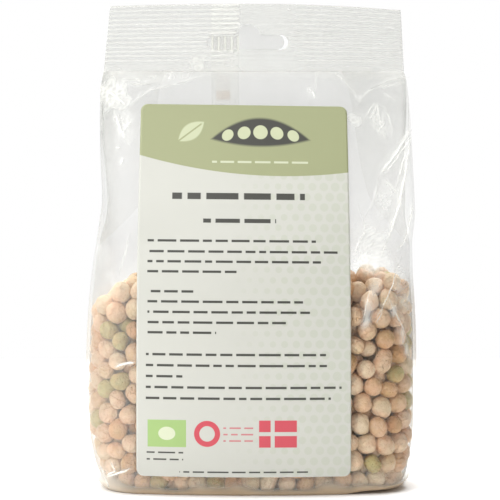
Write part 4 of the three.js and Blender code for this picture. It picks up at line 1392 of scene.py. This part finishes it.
class PEABAG_OT_label(bpy.types.Operator):
    """Stick the printed paper label on the front"""
    bl_idname = "pea_bag.label"
    bl_label = "Label"

    def execute(self, context):
        corner = LABEL_CORNER * (1 - np.cos(np.linspace(0, math.pi / 2, 9)))
        inner = np.linspace(LABEL_BOTTOM + LABEL_CORNER, LABEL_TOP - LABEL_CORNER, 170)
        z = np.concatenate((LABEL_BOTTOM + corner[:-1], inner, (LABEL_TOP - corner[:-1])[::-1]))
        from_end = np.minimum(np.minimum(z - LABEL_BOTTOM, LABEL_TOP - z), LABEL_CORNER)
        half = LABEL_WIDTH / 2 - LABEL_CORNER + np.sqrt(
            np.maximum(0.0, LABEL_CORNER**2 - (LABEL_CORNER - from_end) ** 2))
        x = LABEL_X + half[:, None] * np.linspace(-1, 1, 111)[None]
        share = ((z - LABEL_BOTTOM) / LABEL_HEIGHT)[:, None]
        height = z[:, None] - (x - LABEL_X) * LABEL_TOP_SLOPE * share
        ripple = 0.10 * MM * np.sin(x / (9 * MM) + height / (17 * MM)) * np.sin(height / (13 * MM))
        front = -panel_depth(x, False, height) - LABEL_STAND_OFF + ripple
        near = np.stack((x, front - 0.06 * MM, height), -1)
        far = np.stack((x, front + 0.06 * MM, height), -1)
        obj = sheet_mesh("label_paper", near, far, {"printed": np.repeat((1.0, 0.0), x.size)})
        uv = obj.data.uv_layers.new(name="print")
        across = (x - LABEL_X) / LABEL_WIDTH + 0.5
        place = np.stack((across, share + 0 * x), -1).reshape(-1, 2)
        place = np.concatenate((place, place))
        corners = np.empty(len(obj.data.loops), dtype=np.int32)
        obj.data.loops.foreach_get("vertex_index", corners)
        uv.data.foreach_set("uv", place[corners].astype(np.float32).ravel())
        dress(obj, label_finish(context.scene.pea_bag_label), "label")
        return {"FINISHED"}


TABLE_HALF_WIDTH = 0.6
TABLE_DROP = 0.1 * MM
TABLE_POINTS = 9
EYE_X = -0.4 * MM
SENSOR_WIDTH = 36.0
# Name, place, width in metres and power in watts.
LIGHTS = (
    ("key_light", (-0.38, -0.42, 0.62), 0.35, 3.1),
    ("top_light", (0.0, 0.2, 0.95), 0.9, 17.0),
)


class PEABAG_OT_stage(bpy.types.Operator):
    """Set the pale table, the soft lights and the camera"""
    bl_idname = "pea_bag.stage"
    bl_label = "Stage"

    def execute(self, context):
        settings = context.scene.pea_bag_stage
        steps = np.linspace(-TABLE_HALF_WIDTH, TABLE_HALF_WIDTH, TABLE_POINTS)
        x, y = np.meshgrid(steps, steps)
        points = np.stack((x, y, 0 * x - TABLE_DROP), -1).reshape(-1, 3)
        table = make_mesh("table", points, grid_quads(TABLE_POINTS, TABLE_POINTS))
        table.data.materials.append(floor_finish())
        for light in LIGHTS:
            add_area(*light)
        context.scene.world = studio_world()
        camera = bpy.data.objects.new("camera", bpy.data.cameras.new("camera"))
        context.scene.collection.objects.link(camera)
        camera.data.sensor_width = SENSOR_WIDTH
        camera.data.lens = SENSOR_WIDTH * settings.distance / settings.view_width
        camera.data.clip_start = 0.01
        camera.location = (EYE_X, -STATIONS[:, 3].max() - settings.distance, settings.eye)
        camera.rotation_euler = (math.pi / 2, 0.0, 0.0)
        context.scene.camera = camera
        context.scene.view_settings.view_transform = "Standard"
        return {"FINISHED"}


def add_area(name, place, size, power):
    """A square soft light at place, turned towards the middle of the bag."""
    light = bpy.data.lights.new(name, "AREA")
    light.shape, light.size, light.energy = "SQUARE", size, power
    obj = bpy.data.objects.new(name, light)
    obj.location = place
    obj.rotation_euler = (Vector((0.0, 0.0, 0.09)) - Vector(place)).to_track_quat("-Z", "Y").to_euler()
    bpy.context.scene.collection.objects.link(obj)


def studio_world():
    """White to look at; as a light it is bright at the left, above and behind the bag, and
    dim in front and at the right."""
    world = bpy.data.worlds.new("studio")
    sky = Finish(world)
    axes = sky.node("ShaderNodeSeparateXYZ", inputs={0: sky.node("ShaderNodeTexCoord", output="Generated")})
    across, deep, up = (Value(sky, axes.socket.node.outputs[axis]) for axis in "XYZ")
    left = (across * -1.0).most(0.0)
    light = 0.09 + left * left * 1.9 + deep.most(0.0) ** 2.0 * 0.85 + up.most(0.0) ** 2.0 * 0.55
    seen = sky.node("ShaderNodeLightPath", output="Is Camera Ray")
    strength = light + seen * (1.0 - light)
    shader = sky.node("ShaderNodeBackground", inputs={"Color": (1, 1, 1, 1), "Strength": strength})
    sky.node("ShaderNodeOutputWorld", inputs={"Surface": shader}, output=None)
    return world


OPERATORS = (
    PEABAG_OT_stage, PEABAG_OT_peas, PEABAG_OT_film, PEABAG_OT_header, PEABAG_OT_tab, PEABAG_OT_seam,
    PEABAG_OT_label,
)


class PEABAG_PT_panel(bpy.types.Panel):
    """The pieces of the bag, in the order in which they are made"""
    bl_idname = "PEABAG_PT_panel"
    bl_label = "Bag of Dried Peas"
    bl_space_type = "VIEW_3D"
    bl_region_type = "UI"
    bl_category = "Peas"

    def draw(self, context):
        for operator in OPERATORS:
            self.layout.operator(operator.bl_idname)
        for name, group in GROUPS.items():
            box = self.layout.box()
            for key in group.__annotations__:
                box.prop(getattr(context.scene, name), key)


def register():
    for group in GROUPS.values():
        bpy.utils.register_class(group)
    for name, group in GROUPS.items():
        setattr(bpy.types.Scene, name, bpy.props.PointerProperty(type=group))
    for operator in OPERATORS:
        bpy.utils.register_class(operator)
    bpy.utils.register_class(PEABAG_PT_panel)


def unregister():
    bpy.utils.unregister_class(PEABAG_PT_panel)
    for operator in reversed(OPERATORS):
        bpy.utils.unregister_class(operator)
    for name in GROUPS:
        delattr(bpy.types.Scene, name)
    for group in reversed(GROUPS.values()):
        bpy.utils.unregister_class(group)


def main():
    register()
    bpy.ops.pea_bag.stage()
    bpy.ops.pea_bag.peas()
    bpy.ops.pea_bag.film()
    bpy.ops.pea_bag.header()
    bpy.ops.pea_bag.tab()
    bpy.ops.pea_bag.seam()
    bpy.ops.pea_bag.label()


if __name__ == "__main__":
    main()
